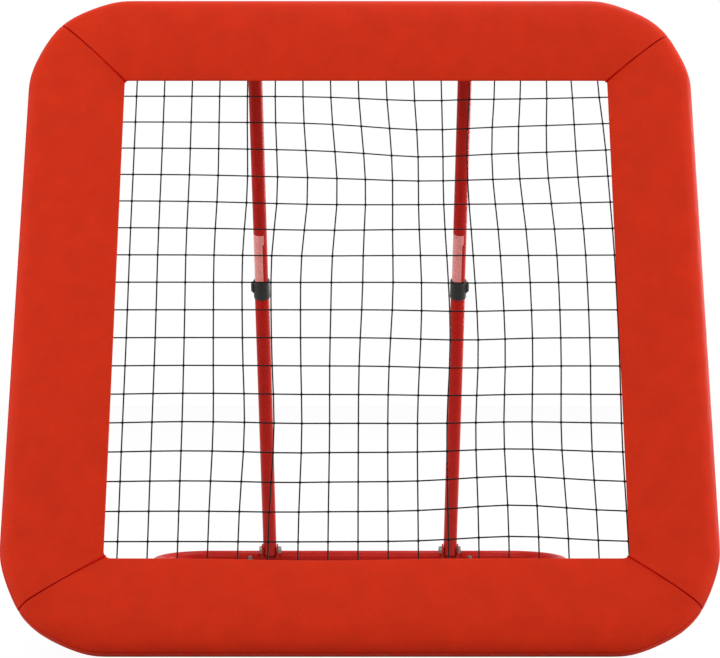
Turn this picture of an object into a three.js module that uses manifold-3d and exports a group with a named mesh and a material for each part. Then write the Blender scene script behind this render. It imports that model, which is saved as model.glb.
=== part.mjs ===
// A pitch back rebounder. A square tubular face with a knotted net and a padded cover leans
// back over a U-shaped ground frame. It hinges on the ground frame's two arms at its foot, and
// two telescopic struts with press-button collars hold it up from behind.
//
// Millimetres, +Z up. The face looks along -Y, the ground is Z = 0, and the part is centred on
// the Z axis.

import * as THREE from 'three';
import { ConvexGeometry } from 'three/addons/geometries/ConvexGeometry.js';
import { mergeVertices } from 'three/addons/utils/BufferGeometryUtils.js';
import Module from 'manifold-3d';

const wasm = await Module();
wasm.setup();

const degrees = Math.PI / 180;

// Fits and facets
const seatGap = 0.3; // clearance between pieces that seat on each other
const shoulder = 0.2; // length of the step where a tube's end is swaged
const tubeSides = 12;
const boltSides = 8;
const boreSides = 12;
const frameSides = 10; // the face's tubes, which the pad covers
const bendSteps = 3; // steps on each side of a corner's seam
const hexSides = 6;
const frontSteps = 4; // steps of the pad's front curve
const rollSteps = 5; // steps of the pad's roll round the tube
const saddleSteps = 6;
const weld = 1e-4; // points closer than this are one

// Face frame
const faceHalf = 395; // middle of the face to the tube's centreline
const faceBend = 100; // centreline radius of the corners
const faceTubeRadius = 12.5;
const faceTubeWall = 1;
const faceSpigot = 30; // swaged end of a corner inside a straight tube
const faceLean = 70.6; // degrees from the ground at rest
const faceTilt = 26.5; // degrees that the face tilts back from there

// Padded cover
const coverReach = 25; // tube's centreline to the pad's outside
const coverWidth = 88; // tube's centreline to the opening's edge
const coverShift = 7.75; // how far the opening sits off the middle
const coverHem = 3.5; // thickness at the opening's edge
const coverHemFront = 14; // net's plane to the front of that edge
const coverCrown = 33; // pull of the pad's front curve, from the net's plane
const coverPull = 70.4; // pull of its inner end, from the tube's centreline
const coverShoulder = 70; // degrees up from the outward direction, where the roll starts
const coverTaperFrom = -50; // degrees behind it, where the pad thins towards its back edge
const coverBackEdge = -104; // degrees behind it, where the pad ends
const coverBackReach = 18; // tube's centreline to the outside of the back edge
const coverSeams = [36.4, 34.1, 35, 45]; // degrees from the level, clockwise from the top right

// Net and its elastic lacing
const netColumns = 20;
const netRows = 18;
const netStrand = 1.6;
const laceSideSpan = 30; // net's edge to the side tubes
const laceEndSpan = 59.6; // net's edge to the top and bottom tubes
const laceWidth = 3;
const laceMargin = 5; // lacing stops this far from a hinge sleeve

// Ground frame
const baseDepth = 689; // hinge axis to the rear crossbar
const baseTubeRadius = 10;
const baseTubeWall = 1;
const armFlare = 19; // how much wider than the hinges the arms stand at the rear
const baseBend = 74;
const crossbarHalf = 154; // middle to the joint with a corner
const crossbarSpigot = 38;
const screwInset = 14; // joint to its screw
const screwRadius = 2;
const screwHeadRadius = 3.6;
const screwHeadHeight = 2;
const screwHeadFlat = 2.5; // radius of the flat on top of the head
const screwLength = 6;

// Hinge sleeves on the arms' front ends
const hingeInset = 12; // start of the face's corner to a sleeve's middle
const sleeveWidth = 22;
const sleeveWall = 2.6;
const sleeveNeck = 6; // sleeve's outside to the arm's end
const sleeveStem = 34; // part of the sleeve inside the arm
const sleeveRoom = 1.2; // room round a sleeve and its arm in the pad

// Brackets, and the bolts through them
const footPivotForward = 16.6; // crossbar's centreline to the foot bolt
const footPivotRise = 14;
const topPivotDrop = 22; // top tube's centreline to the top bolt
const topPivotBack = 27;
const earPlate = 1.8;
const earRadius = 9;
const footSaddle = [92, 184]; // degrees that the saddle spans round the crossbar
const topSaddle = [196, 248]; // degrees that it spans round the top tube
const boltRadius = 3;
const boltHeadRadius = 5.6;
const boltHeadHeight = 3.6;
const nutHeight = 4.6;

// Telescopic struts
const strutSpread = 137.5; // middle to a strut
const upperRadius = 9.3;
const upperWall = 0.8;
const lowerWall = 0.6;
const lowerLength = 466; // foot bolt to the lower tube's top
const strutInsert = 100; // upper tube inside the lower one at rest
const strutPastBolt = 4.5;

// Collars and lock buttons
const collarHeight = 27.5;
const collarLip = 2.2; // part of the collar over the lower tube's end
const collarWall = 0.9;
const collarChamfer = 0.8;
const bezelProud = 1.2;
const bezelRim = 1.4;
const bezelTaper = 0.94;
const buttonHeight = 15.4;
const buttonWidth = 9.4;
const buttonProud = 3.4; // collar's outside to the button's face
const buttonRound = 1;
const buttonRoundTapers = [0.92, 0.76]; // button's size part way up its rounded edge, and on top
const buttonTravel = 1.3;
const buttonDrop = 11.2; // collar's top to the button's middle
const lockPinRadius = 1.7;
const lockHoles = 7;

// Sizes that follow
const lowerRadius = upperRadius + seatGap + lowerWall;
const collarRadius = lowerRadius + seatGap + collarWall;
const hingeSpread = faceHalf - faceBend - hingeInset;
const baseArmSpread = hingeSpread + armFlare;
const hingeHeight = coverReach;
const rearHeight = baseTubeRadius * Math.cos(Math.PI / tubeSides);
const armRise = Math.atan2(hingeHeight - rearHeight, baseDepth);
const armRun = Math.hypot(hingeHeight - rearHeight, baseDepth);
const netHalfWidth = faceHalf - faceTubeRadius - laceSideSpan;
const netHalfHeight = faceHalf - faceTubeRadius - laceEndSpan;

const up = new THREE.Vector3(0, 0, 1);

// ---- Materials -------------------------------------------------------------------------------

function finish(color, roughness, metalness) {
  return new THREE.MeshStandardMaterial({ color, roughness, metalness });
}

const paint = finish(0xb8241c, 0.35, 0.3);
const coverFabric = finish(0xcc2e1c, 0.6, 0);
const netCord = finish(0x161616, 0.8, 0);
const elastic = finish(0x1c1c1e, 0.85, 0);
const steel = finish(0x9a9a9c, 0.35, 0.9);
const plastic = finish(0x1b1d1b, 0.5, 0);

// ---- Shapes ----------------------------------------------------------------------------------

/** Corners of a regular polygon. A bored one has its flats on the radius, a solid its corners. */
function polygon(radius, sides, { bored = false, turn = 0 } = {}) {
  const reach = bored ? radius / Math.cos(Math.PI / sides) : radius;
  const points = [];
  for (let i = 0; i < sides; i += 1) {
    const angle = ((i + 0.5) * 2 * Math.PI) / sides + turn;
    points.push(new THREE.Vector2(reach * Math.cos(angle), reach * Math.sin(angle)));
  }
  return points;
}

/** Points on an arc, in degrees. A bored arc's chords stay outside the radius. */
function arc(radius, from, to, steps, { bored = false, endRadius = radius } = {}) {
  const half = ((to - from) / steps / 2) * degrees;
  const stretch = bored ? 1 / Math.cos(half) : 1;
  const points = [];
  for (let i = 0; i <= steps; i += 1) {
    const reach = THREE.MathUtils.lerp(radius, endRadius, i / steps) * stretch;
    const angle = THREE.MathUtils.lerp(from, to, i / steps) * degrees;
    points.push(new THREE.Vector2(reach * Math.cos(angle), reach * Math.sin(angle)));
  }
  return points;
}

function tubeSection(radius, wall, { sides = tubeSides, turn = 0 } = {}) {
  const section = new THREE.Shape(polygon(radius, sides, { turn }));
  section.holes.push(new THREE.Path(polygon(radius - wall, sides, { turn })));
  return section;
}

/** An upright outline with round ends. */
function stadium(height, width) {
  const points = [];
  for (const point of polygon(width / 2, boltSides)) {
    points.push(new THREE.Vector2(point.x, point.y + (Math.sign(point.y) * (height - width)) / 2));
  }
  return new THREE.Shape(points);
}

/** One place on a path: a section's x runs along across, its y along rise. */
function station(point, across, rise = up, scale = 1) {
  return { point, across, rise, scale };
}

/** Extrudes a section and lays each step on its station. */
function layAlong(section, stations, nudge = () => 0) {
  const steps = stations.length - 1;
  const options = { depth: steps, steps, bevelEnabled: false };
  const geometry = new THREE.ExtrudeGeometry(section, options);
  const position = geometry.attributes.position;
  const place = new THREE.Vector3();
  for (let i = 0; i < position.count; i += 1) {
    const { point, across, rise, scale } = stations[Math.round(position.getZ(i))];
    place.copy(point);
    place.addScaledVector(across, position.getX(i) * scale);
    place.addScaledVector(rise, position.getY(i) * scale);
    place.x += nudge(position.getX(i));
    position.setXYZ(i, place.x, place.y, place.z);
  }
  geometry.computeVertexNormals();
  return geometry;
}

/** The same stations on the other side of the middle, still in a right-handed order. */
function mirrored(stations) {
  const flipped = stations.map(({ point, across, rise, scale }) => station(
    new THREE.Vector3(-point.x, point.y, point.z),
    new THREE.Vector3(-across.x, across.y, across.z),
    rise,
    scale,
  ));
  return flipped.reverse();
}

// ---- Joining and cutting ---------------------------------------------------------------------

function solidOf(geometry) {
  const bare = geometry.clone();
  bare.deleteAttribute('normal');
  bare.deleteAttribute('uv');
  const merged = mergeVertices(bare, weld);
  return new wasm.Manifold(new wasm.Mesh({
    numProp: 3,
    vertProperties: new Float32Array(merged.attributes.position.array),
    triVerts: new Uint32Array(merged.index.array),
  }));
}

function geometryOf(solid) {
  const mesh = solid.getMesh();
  const geometry = new THREE.BufferGeometry();
  geometry.setAttribute('position', new THREE.BufferAttribute(mesh.vertProperties, 3));
  geometry.setIndex(new THREE.BufferAttribute(mesh.triVerts, 1));
  geometry.computeVertexNormals();
  return geometry;
}

function join(first, ...others) {
  return geometryOf(others.reduce((sum, other) => sum.add(solidOf(other)), solidOf(first)));
}

function cut(body, ...tools) {
  return geometryOf(tools.reduce((rest, tool) => rest.subtract(solidOf(tool)), solidOf(body)));
}

/** A shape on a strut that faces +X, turned half way round the strut for the left side. */
function handed(geometry, side) {
  return geometry.scale(side, 1, side);
}

/** A round bar along X between two places, centred on y and z. */
function barX(radius, from, to, { y = 0, z = 0, sides = boltSides, bored = false } = {}) {
  const section = new THREE.Shape(polygon(radius, sides, { bored }));
  const options = { depth: to - from, bevelEnabled: false };
  const bar = new THREE.ExtrudeGeometry(section, options);
  bar.rotateY(Math.PI / 2);
  return bar.translate(from, y, z);
}

/** A round bar along Y between two places, centred on x and z. */
function barY(radius, from, to, { x = 0, z = 0, sides = boltSides, bored = false } = {}) {
  const section = new THREE.Shape(polygon(radius, sides, { bored }));
  const options = { depth: to - from, bevelEnabled: false };
  const bar = new THREE.ExtrudeGeometry(section, options);
  bar.rotateX(-Math.PI / 2);
  return bar.translate(x, from, z);
}

/** The block that wraps a flat set of points, as wide as given along X. */
function wrapX(points, width) {
  const corners = [];
  for (const { x: y, y: z } of points) {
    corners.push(new THREE.Vector3(-width / 2, y, z), new THREE.Vector3(width / 2, y, z));
  }
  return new ConvexGeometry(corners);
}

function circleAt(centre, radius, sides, bored = false) {
  return polygon(radius, sides, { bored }).map((point) => point.add(centre));
}

// ---- Linkage ---------------------------------------------------------------------------------

const footPivot = new THREE.Vector2(baseDepth - footPivotForward, rearHeight + footPivotRise);

/** The top bolt's place in the Y-Z plane when the face has tilted back by so many degrees. */
function topPivotAt(tilt) {
  const pivot = new THREE.Vector2(2 * faceHalf - topPivotDrop, -topPivotBack);
  pivot.rotateAround(new THREE.Vector2(), (faceLean - tilt) * degrees);
  return pivot.add(new THREE.Vector2(0, hingeHeight));
}

function strutAt(tilt) {
  const reach = topPivotAt(tilt).sub(footPivot);
  return { length: reach.length(), angle: reach.angle() };
}

const strutRest = strutAt(0);
const strutFolded = strutAt(faceTilt);
const strutTravel = strutRest.length - strutFolded.length;

const midway = 0.5; // share of the fold at which a strut is furthest off its bracket's pivot

/** How far a strut that folds at an even rate leaves the bracket's pivot, in the face's frame. */
function pivotDrift(share) {
  const tilt = faceTilt * share;
  const length = THREE.MathUtils.lerp(strutRest.length, strutFolded.length, share);
  const angle = THREE.MathUtils.lerp(strutRest.angle, strutFolded.angle, share);
  const end = new THREE.Vector2(length * Math.cos(angle), length * Math.sin(angle));
  const drift = end.add(footPivot).sub(topPivotAt(tilt));
  return drift.rotateAround(new THREE.Vector2(), -(faceLean - tilt) * degrees);
}

// ---- Face frame ------------------------------------------------------------------------------

const sideNames = ['top', 'right', 'bottom', 'left'];
const cornerNames = ['top_right', 'bottom_right', 'bottom_left', 'top_left'];
const cornerSigns = [[1, 1], [1, -1], [-1, -1], [-1, 1]];
const quarter = 90;

/** A place on corner k's bend, the given degrees clockwise from its start. */
function bendStation(k, turn) {
  const angle = (quarter - quarter * k - turn) * degrees;
  const across = new THREE.Vector3(Math.cos(angle), Math.sin(angle), 0);
  const inset = faceHalf - faceBend;
  const centre = new THREE.Vector3(cornerSigns[k][0] * inset, cornerSigns[k][1] * inset, 0);
  return station(centre.addScaledVector(across, faceBend), across);
}

/** A station moved along its own path. */
function moved({ point, across, rise, scale }, distance, newScale = scale) {
  const along = new THREE.Vector3().crossVectors(across, rise);
  return station(point.clone().addScaledVector(along, distance), across, rise, newScale);
}

function seamTurn(k) {
  return k % 2 === 0 ? quarter - coverSeams[k] : coverSeams[k];
}

function turnsBefore(k) {
  const seam = seamTurn(k);
  return Array.from({ length: bendSteps + 1 }, (_, i) => (seam * i) / bendSteps);
}

function turnsAfter(k) {
  const seam = seamTurn(k);
  return Array.from({ length: bendSteps + 1 }, (_, i) => seam + ((quarter - seam) * i) / bendSteps);
}

const frameSection = tubeSection(faceTubeRadius, faceTubeWall, { sides: frameSides });

function frameStraight(k) {
  const clearance = shoulder + seatGap;
  const start = moved(bendStation((k + 3) % 4, quarter), clearance);
  const end = moved(bendStation(k, 0), -clearance);
  return layAlong(frameSection, [start, end]);
}

function frameCorner(k) {
  const swage = (faceTubeRadius - faceTubeWall - seatGap) / faceTubeRadius;
  const turns = [...turnsBefore(k), ...turnsAfter(k).slice(1)];
  const bend = turns.map((turn) => bendStation(k, turn));
  const first = bend[0];
  const last = bend[bend.length - 1];
  return layAlong(frameSection, [
    moved(first, -faceSpigot, swage),
    moved(first, -shoulder, swage),
    ...bend,
    moved(last, shoulder, swage),
    moved(last, faceSpigot, swage),
  ]);
}

// ---- Padded cover ----------------------------------------------------------------------------

/** The pad's section: x outward from the tube's centreline, y to the front. */
function coverSection() {
  const roll = arc(coverReach, coverShoulder, coverTaperFrom, rollSteps);
  const taper = arc(coverReach, coverTaperFrom, coverBackEdge, 1, { endRadius: coverBackReach });
  const tubeRoom = faceTubeRadius + seatGap;
  const inside = arc(tubeRoom, coverBackEdge, quarter, rollSteps, { bored: true });
  const hemFront = new THREE.Vector2(-coverWidth, coverHemFront);
  const hemBack = new THREE.Vector2(-coverWidth, coverHemFront - coverHem);
  const shoulderPull = new THREE.Vector2(coverReach, 0)
    .rotateAround(new THREE.Vector2(), coverShoulder * degrees)
    .add(new THREE.Vector2(-coverReach, coverCrown - coverReach));
  const hemPull = new THREE.Vector2(-coverPull, coverCrown - coverHem);
  const curve = new THREE.CubicBezierCurve(hemFront, hemPull, shoulderPull, roll[0]);
  const front = curve.getPoints(frontSteps);
  return new THREE.Shape([...front, ...roll.slice(1), ...taper.slice(1), ...inside, hemBack]);
}

/** The opening sits off the middle: the pad's inner part leans over, its tube part doesn't. */
function coverNudge(outward) {
  const share = THREE.MathUtils.smoothstep(-outward, faceTubeRadius + seatGap, coverWidth);
  return coverShift * share;
}

function coverSide(k) {
  const before = (k + 3) % 4;
  const stations = [
    ...turnsAfter(before).map((turn) => bendStation(before, turn)),
    ...turnsBefore(k).map((turn) => bendStation(k, turn)),
  ];
  stations[0] = moved(stations[0], seatGap / 2);
  stations.push(moved(stations.pop(), -seatGap / 2));
  return layAlong(coverSection(), stations, coverNudge);
}

/** Room in the bottom pad for a hinge sleeve and the arm behind it, in the face's frame. */
function sleevePocket(side) {
  const width = sleeveWidth + 2 * sleeveRoom;
  const from = side * hingeSpread - width / 2;
  const sleeveRadius = faceTubeRadius + seatGap + sleeveWall + sleeveRoom;
  const room = barX(sleeveRadius, from, from + width, { sides: boreSides, bored: true });
  const passageHeight = 2 * (baseTubeRadius + sleeveRoom);
  const passage = new THREE.BoxGeometry(width, 2 * coverReach, passageHeight);
  passage.translate(side * hingeSpread, coverReach, 0);
  passage.rotateX(-armRise - faceLean * degrees);
  return join(room, passage).translate(0, -faceHalf, 0);
}

function coverBottom() {
  return cut(coverSide(sideNames.indexOf('bottom')), sleevePocket(-1), sleevePocket(1));
}

// ---- Net and lacing --------------------------------------------------------------------------

/**
 * Square-mesh net. A knot has a front point, a back point and four corners, and a strand runs
 * from knot to knot with one ridge in front and one behind.
 */
function netPanel() {
  const half = netStrand / 2;
  const diagonals = [[-1, -1], [1, -1], [-1, 1], [1, 1]];
  const directions = [[1, 0], [0, 1], [-1, 0], [0, -1]];
  const knotPoints = 2 + diagonals.length;
  const front = (i, j) => knotPoints * (i * (netRows + 1) + j);
  const back = (i, j) => front(i, j) + 1;
  const corner = (i, j, x, y) => back(i, j) + 1 + (x > 0 ? 1 : 0) + (y > 0 ? 2 : 0);
  const onNet = (i, j) => i >= 0 && i <= netColumns && j >= 0 && j <= netRows;
  const places = [];
  const faces = [];
  for (let i = 0; i <= netColumns; i += 1) {
    for (let j = 0; j <= netRows; j += 1) {
      const x = ((2 * i) / netColumns - 1) * (netHalfWidth - half);
      const y = ((2 * j) / netRows - 1) * (netHalfHeight - half);
      places.push(x, y, half, x, y, -half);
      diagonals.forEach(([dx, dy]) => places.push(x + dx * half, y + dy * half, 0));
      for (const [dx, dy] of directions) {
        const left = corner(i, j, dx - dy, dy + dx);
        const right = corner(i, j, dx + dy, dy - dx);
        if (onNet(i + dx, j + dy)) {
          const farLeft = corner(i + dx, j + dy, -dx - dy, dx - dy);
          faces.push(front(i, j), front(i + dx, j + dy), farLeft, front(i, j), farLeft, left);
          faces.push(back(i, j), left, farLeft, back(i, j), farLeft, back(i + dx, j + dy));
        } else {
          faces.push(front(i, j), right, left, back(i, j), left, right);
        }
      }
    }
  }
  const panel = new THREE.BufferGeometry();
  panel.setAttribute('position', new THREE.Float32BufferAttribute(places, 3));
  panel.setIndex(faces);
  panel.computeVertexNormals();
  return panel;
}

/** Elastic that zigzags from the net's edge to the tube, lying along X with +Y outward. */
function lacing(netEdge, reach, pitch) {
  const tubeEdge = faceHalf - faceTubeRadius;
  const rise = tubeEdge - netEdge - 2 * seatGap;
  const half = (laceWidth / 2) * Math.hypot(1, rise / pitch);
  const low = netEdge + seatGap + half;
  const high = tubeEdge - seatGap - half;
  const loops = Math.floor(reach / pitch);
  const spine = [];
  for (let i = -loops; i <= loops; i += 1) {
    const onNet = (i + loops) % 2 === 0;
    spine.push(new THREE.Vector2(i * pitch, onNet ? low : high));
  }
  const lower = spine.map(({ x, y }) => new THREE.Vector2(x, y - half));
  const upper = spine.map(({ x, y }) => new THREE.Vector2(x, y + half)).reverse();
  const band = new THREE.Shape([...lower, ...upper]);
  const strip = new THREE.ExtrudeGeometry(band, { depth: laceWidth, bevelEnabled: false });
  return strip.translate(0, 0, -laceWidth / 2);
}

function lacingSide(k) {
  const upright = k % 2 === 1;
  const netEdge = upright ? netHalfWidth : netHalfHeight;
  const pitch = upright ? (2 * netHalfHeight) / netRows : (2 * netHalfWidth) / netColumns;
  const clearOfSleeves = hingeSpread - sleeveWidth / 2 - laceMargin;
  const reach = sideNames[k] === 'bottom' ? clearOfSleeves : faceHalf - faceBend;
  return lacing(netEdge, reach, pitch).rotateZ(-k * quarter * degrees);
}

// ---- Brackets and bolts ----------------------------------------------------------------------

/**
 * A saddle on a tube along X with two ears. The pivot, and the slot that runs from it, are
 * places in the Y-Z plane from the tube's centreline.
 */
function bracket({ tubeRadius, strutRadius, pivot, slot, saddle }) {
  const saddleRadius = tubeRadius + seatGap + earPlate;
  const innerWidth = 2 * (strutRadius + seatGap);
  const outerWidth = innerWidth + 2 * earPlate;
  const slotEnd = pivot.clone().add(slot);
  const reach = 2 * (pivot.length() + saddleRadius + earRadius);
  const block = wrapX([
    ...circleAt(pivot, earRadius, boltSides),
    ...circleAt(slotEnd, earRadius, boltSides),
    ...arc(saddleRadius, saddle[0], saddle[1], saddleSteps),
  ], outerWidth);
  const tube = barX(tubeRadius + seatGap, -reach, reach, { sides: boreSides, bored: true });
  const web = barX(saddleRadius, -reach, reach, { sides: boreSides, bored: true });
  const between = cut(new THREE.BoxGeometry(innerWidth, 2 * reach, 2 * reach), web);
  const hole = wrapX([
    ...circleAt(pivot, boltRadius + seatGap, boltSides, true),
    ...circleAt(slotEnd, boltRadius + seatGap, boltSides, true),
  ], 2 * outerWidth);
  return cut(block, tube, between, hole);
}

function earsWidth(strutRadius) {
  return 2 * (strutRadius + seatGap + earPlate);
}

/** A hexagon bolt along X with its head at the positive end. */
function bolt(grip) {
  const seat = grip / 2 + seatGap;
  const head = barX(boltHeadRadius, seat, seat + boltHeadHeight, { sides: hexSides });
  const shank = barX(boltRadius, -seat - nutHeight - boltRadius / 2, seat + boltHeadHeight / 2);
  return join(head, shank);
}

function nut(grip) {
  const seat = -grip / 2 - seatGap;
  const hexagon = barX(boltHeadRadius, seat - nutHeight, seat, { sides: hexSides });
  const thread = barX(boltRadius + seatGap, seat - 2 * nutHeight, 0);
  return cut(hexagon, thread);
}

/** A pan-head screw whose shank points along -Z from the head's seat at the origin. */
function screw() {
  const profile = [
    [0, -screwLength],
    [screwRadius, -screwLength],
    [screwRadius, 0],
    [screwHeadRadius, 0],
    [screwHeadRadius, screwHeadHeight / 2],
    [screwHeadFlat, screwHeadHeight],
    [0, screwHeadHeight],
  ];
  const lathe = new THREE.LatheGeometry(profile.map(([x, y]) => new THREE.Vector2(x, y)), boltSides);
  return lathe.rotateX(Math.PI / 2);
}

// ---- Ground frame, with the crossbar's middle at the origin ------------------------------------

function baseTube(stations) {
  return layAlong(tubeSection(baseTubeRadius, baseTubeWall, { turn: armRise }), stations);
}

/** A hole for a joint screw through the front wall at x. */
function screwHole(x) {
  return barY(screwRadius + seatGap, -2 * baseTubeRadius, 0, { x, bored: true });
}

function crossbar() {
  const swage = (baseTubeRadius - baseTubeWall - seatGap) / baseTubeRadius;
  const at = (x, scale) => station(new THREE.Vector3(x, 0, 0), new THREE.Vector3(0, 1, 0), up, scale);
  const end = crossbarHalf + crossbarSpigot;
  const bar = baseTube([
    at(-end, swage),
    at(-crossbarHalf - shoulder, swage),
    at(-crossbarHalf, 1),
    at(crossbarHalf, 1),
    at(crossbarHalf + shoulder, swage),
    at(end, swage),
  ]);
  const screwPlace = crossbarHalf + screwInset;
  return cut(bar, screwHole(-screwPlace), screwHole(screwPlace));
}

/** The right arm's straight part: where it leaves the bend, its heading and its front end. */
function armLine() {
  const centre = new THREE.Vector2(baseArmSpread - baseBend, -baseBend);
  const toHinge = new THREE.Vector2(hingeSpread, -armRun).sub(centre);
  const toeIn = Math.asin(baseBend / toHinge.length()) - Math.atan2(toHinge.x, -toHinge.y);
  const heading = new THREE.Vector2(-Math.sin(toeIn), -Math.cos(toeIn));
  return { centre, toeIn, heading };
}

function baseCorner(side) {
  const { centre, toeIn, heading } = armLine();
  const sweep = Math.PI / 2 + toeIn;
  const steps = 2 * bendSteps;
  const joint = crossbarHalf + shoulder + seatGap;
  const stations = [station(new THREE.Vector3(joint, 0, 0), new THREE.Vector3(0, 1, 0))];
  for (let i = 0; i <= steps; i += 1) {
    const angle = Math.PI / 2 - (sweep * i) / steps;
    const across = new THREE.Vector3(Math.cos(angle), Math.sin(angle), 0);
    const point = new THREE.Vector3(centre.x, centre.y, 0).addScaledVector(across, baseBend);
    stations.push(station(point, across));
  }
  const sleeveRadius = faceTubeRadius + seatGap + sleeveWall;
  const setBack = sleeveRadius + sleeveNeck + seatGap;
  const front = new THREE.Vector3(
    hingeSpread - heading.x * setBack,
    -armRun - heading.y * setBack,
    0,
  );
  stations.push(station(front, stations[steps + 1].across));
  const tube = baseTube(side > 0 ? stations : mirrored(stations));
  const frontScrew = sleeveScrewPlace(side);
  const topHole = barX(screwRadius + seatGap, 0, 2 * baseTubeRadius, { bored: true });
  topHole.rotateY(-Math.PI / 2).translate(frontScrew.x, frontScrew.y, 0);
  return cut(tube, screwHole(side * (crossbarHalf + screwInset)), topHole);
}

/** Middle of the stem of a hinge sleeve, where its screw goes in from above. */
function sleeveScrewPlace(side) {
  const { heading } = armLine();
  const setBack = faceTubeRadius + seatGap + sleeveWall + sleeveNeck + sleeveStem / 2;
  const x = hingeSpread - heading.x * setBack;
  return new THREE.Vector3(side * x, -armRun - heading.y * setBack, 0);
}

/** A sleeve round the face's bottom tube, with a neck and a stem that goes into the arm. */
function hingeSleeve(side) {
  const { toeIn } = armLine();
  const bore = faceTubeRadius + seatGap;
  const sleeveRadius = bore + sleeveWall;
  const neckEnd = sleeveRadius + sleeveNeck;
  const stemRadius = baseTubeRadius - baseTubeWall - seatGap;
  const ring = barX(sleeveRadius, -sleeveWidth / 2, sleeveWidth / 2, { sides: boreSides });
  const neck = barY(baseTubeRadius, 0, neckEnd, { sides: tubeSides });
  const stem = barY(stemRadius, 0, neckEnd + sleeveStem, { sides: tubeSides });
  const arm = join(neck, stem).rotateZ(-side * toeIn);
  const hollow = barX(bore, -sleeveWidth, sleeveWidth, { sides: boreSides, bored: true });
  const placed = cut(join(ring, arm), hollow).translate(side * hingeSpread, -armRun, 0);
  const pilot = barX(screwRadius + seatGap, 0, 2 * baseTubeRadius, { bored: true });
  const { x, y } = sleeveScrewPlace(side);
  pilot.rotateY(-Math.PI / 2).translate(x, y, 0);
  return cut(placed, pilot);
}

// ---- Struts, with the foot bolt at the origin and +Y along the strut ---------------------------

const buttonHeightOnStrut = lowerLength + collarLip + seatGap - buttonDrop;

/** A tube along the strut between two places on it. */
function strutTube(radius, wall, from, to) {
  const across = new THREE.Vector3(0, 0, 1);
  const rise = new THREE.Vector3(1, 0, 0);
  const ends = [from, to].map((y) => station(new THREE.Vector3(0, y, 0), across, rise));
  return layAlong(tubeSection(radius, wall), ends);
}

function lowerTube(side) {
  const tube = strutTube(lowerRadius, lowerWall, -strutPastBolt, lowerLength);
  const through = 2 * lowerRadius;
  const boltHole = barX(boltRadius + seatGap, -through, through, { bored: true });
  const pinHole = barX(lockPinRadius + seatGap, 0, through, { y: buttonHeightOnStrut, bored: true });
  return handed(cut(tube, boltHole, pinHole), side);
}

/** The inner tube, with a row of lock holes on its outer side. */
function upperTube(side) {
  const end = strutRest.length + strutPastBolt;
  const tube = strutTube(upperRadius, upperWall, lowerLength - strutInsert, end);
  const through = 2 * upperRadius;
  const bolted = { y: strutRest.length, bored: true };
  const boltHole = barX(boltRadius + seatGap, -through, through, bolted);
  const locks = [];
  for (let i = 0; i < lockHoles; i += 1) {
    const place = buttonHeightOnStrut + (strutTravel * i) / (lockHoles - 1);
    locks.push(barX(lockPinRadius + 2 * seatGap, 0, through, { y: place, bored: true }));
  }
  return handed(cut(tube, boltHole, ...locks), side);
}

function collar(side) {
  const top = lowerLength + seatGap + collarLip;
  const bottom = top - collarHeight;
  const profile = [
    [0, bottom],
    [collarRadius - collarChamfer, bottom],
    [collarRadius, bottom + 2 * collarChamfer],
    [collarRadius, top - collarChamfer],
    [collarRadius - collarChamfer, top],
    [0, top],
  ];
  const body = new THREE.LatheGeometry(profile.map(([x, y]) => new THREE.Vector2(x, y)), boreSides);
  const rim = bezelRim + seatGap;
  const bezel = buttonBlock(buttonHeight + 2 * rim, buttonWidth + 2 * rim, [
    [upperRadius, 1],
    [collarRadius + bezelProud / 2, 1],
    [collarRadius + bezelProud, bezelTaper],
  ]);
  const pocket = buttonBlock(buttonHeight + 2 * seatGap, buttonWidth + 2 * seatGap, [
    [upperRadius, 1],
    [2 * collarRadius, 1],
  ]);
  const sleeve = { sides: tubeSides };
  const tubeBore = barY(lowerRadius + seatGap, bottom - collarLip, lowerLength + seatGap, sleeve);
  const lipBore = barY(upperRadius + seatGap, bottom, 2 * top, sleeve);
  return handed(cut(join(body, bezel), tubeBore, lipBore, pocket), side);
}

/** A round-ended block that stands out along +X at the button's height. */
function buttonBlock(height, width, steps) {
  const across = new THREE.Vector3(0, 0, -1);
  const rise = new THREE.Vector3(0, 1, 0);
  return layAlong(stadium(height, width), steps.map(([x, scale]) => station(
    new THREE.Vector3(x, buttonHeightOnStrut, 0),
    across,
    rise,
    scale,
  )));
}

function lockButton(side) {
  const back = lowerRadius + seatGap + buttonTravel;
  const face = collarRadius + buttonProud;
  const cap = buttonBlock(buttonHeight, buttonWidth, [
    [back, 1],
    [face - buttonRound, 1],
    [face - buttonRound / 3, buttonRoundTapers[0]],
    [face, buttonRoundTapers[1]],
  ]);
  const tip = upperRadius + seatGap;
  const pin = barX(lockPinRadius, tip, back + buttonRound / 2, { y: buttonHeightOnStrut });
  return handed(join(cap, pin), side);
}

// ---- Assembly --------------------------------------------------------------------------------

function addPiece(parent, name, geometry, material) {
  const mesh = new THREE.Mesh(geometry, material);
  mesh.name = name;
  parent.add(mesh);
  return mesh;
}

function addGroup(parent, y, z, lean) {
  const group = new THREE.Group();
  group.position.set(0, y, z);
  group.rotation.x = lean;
  parent.add(group);
  return group;
}

const rebounder = new THREE.Group();
const sides = [['left', -1], ['right', 1]];

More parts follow.
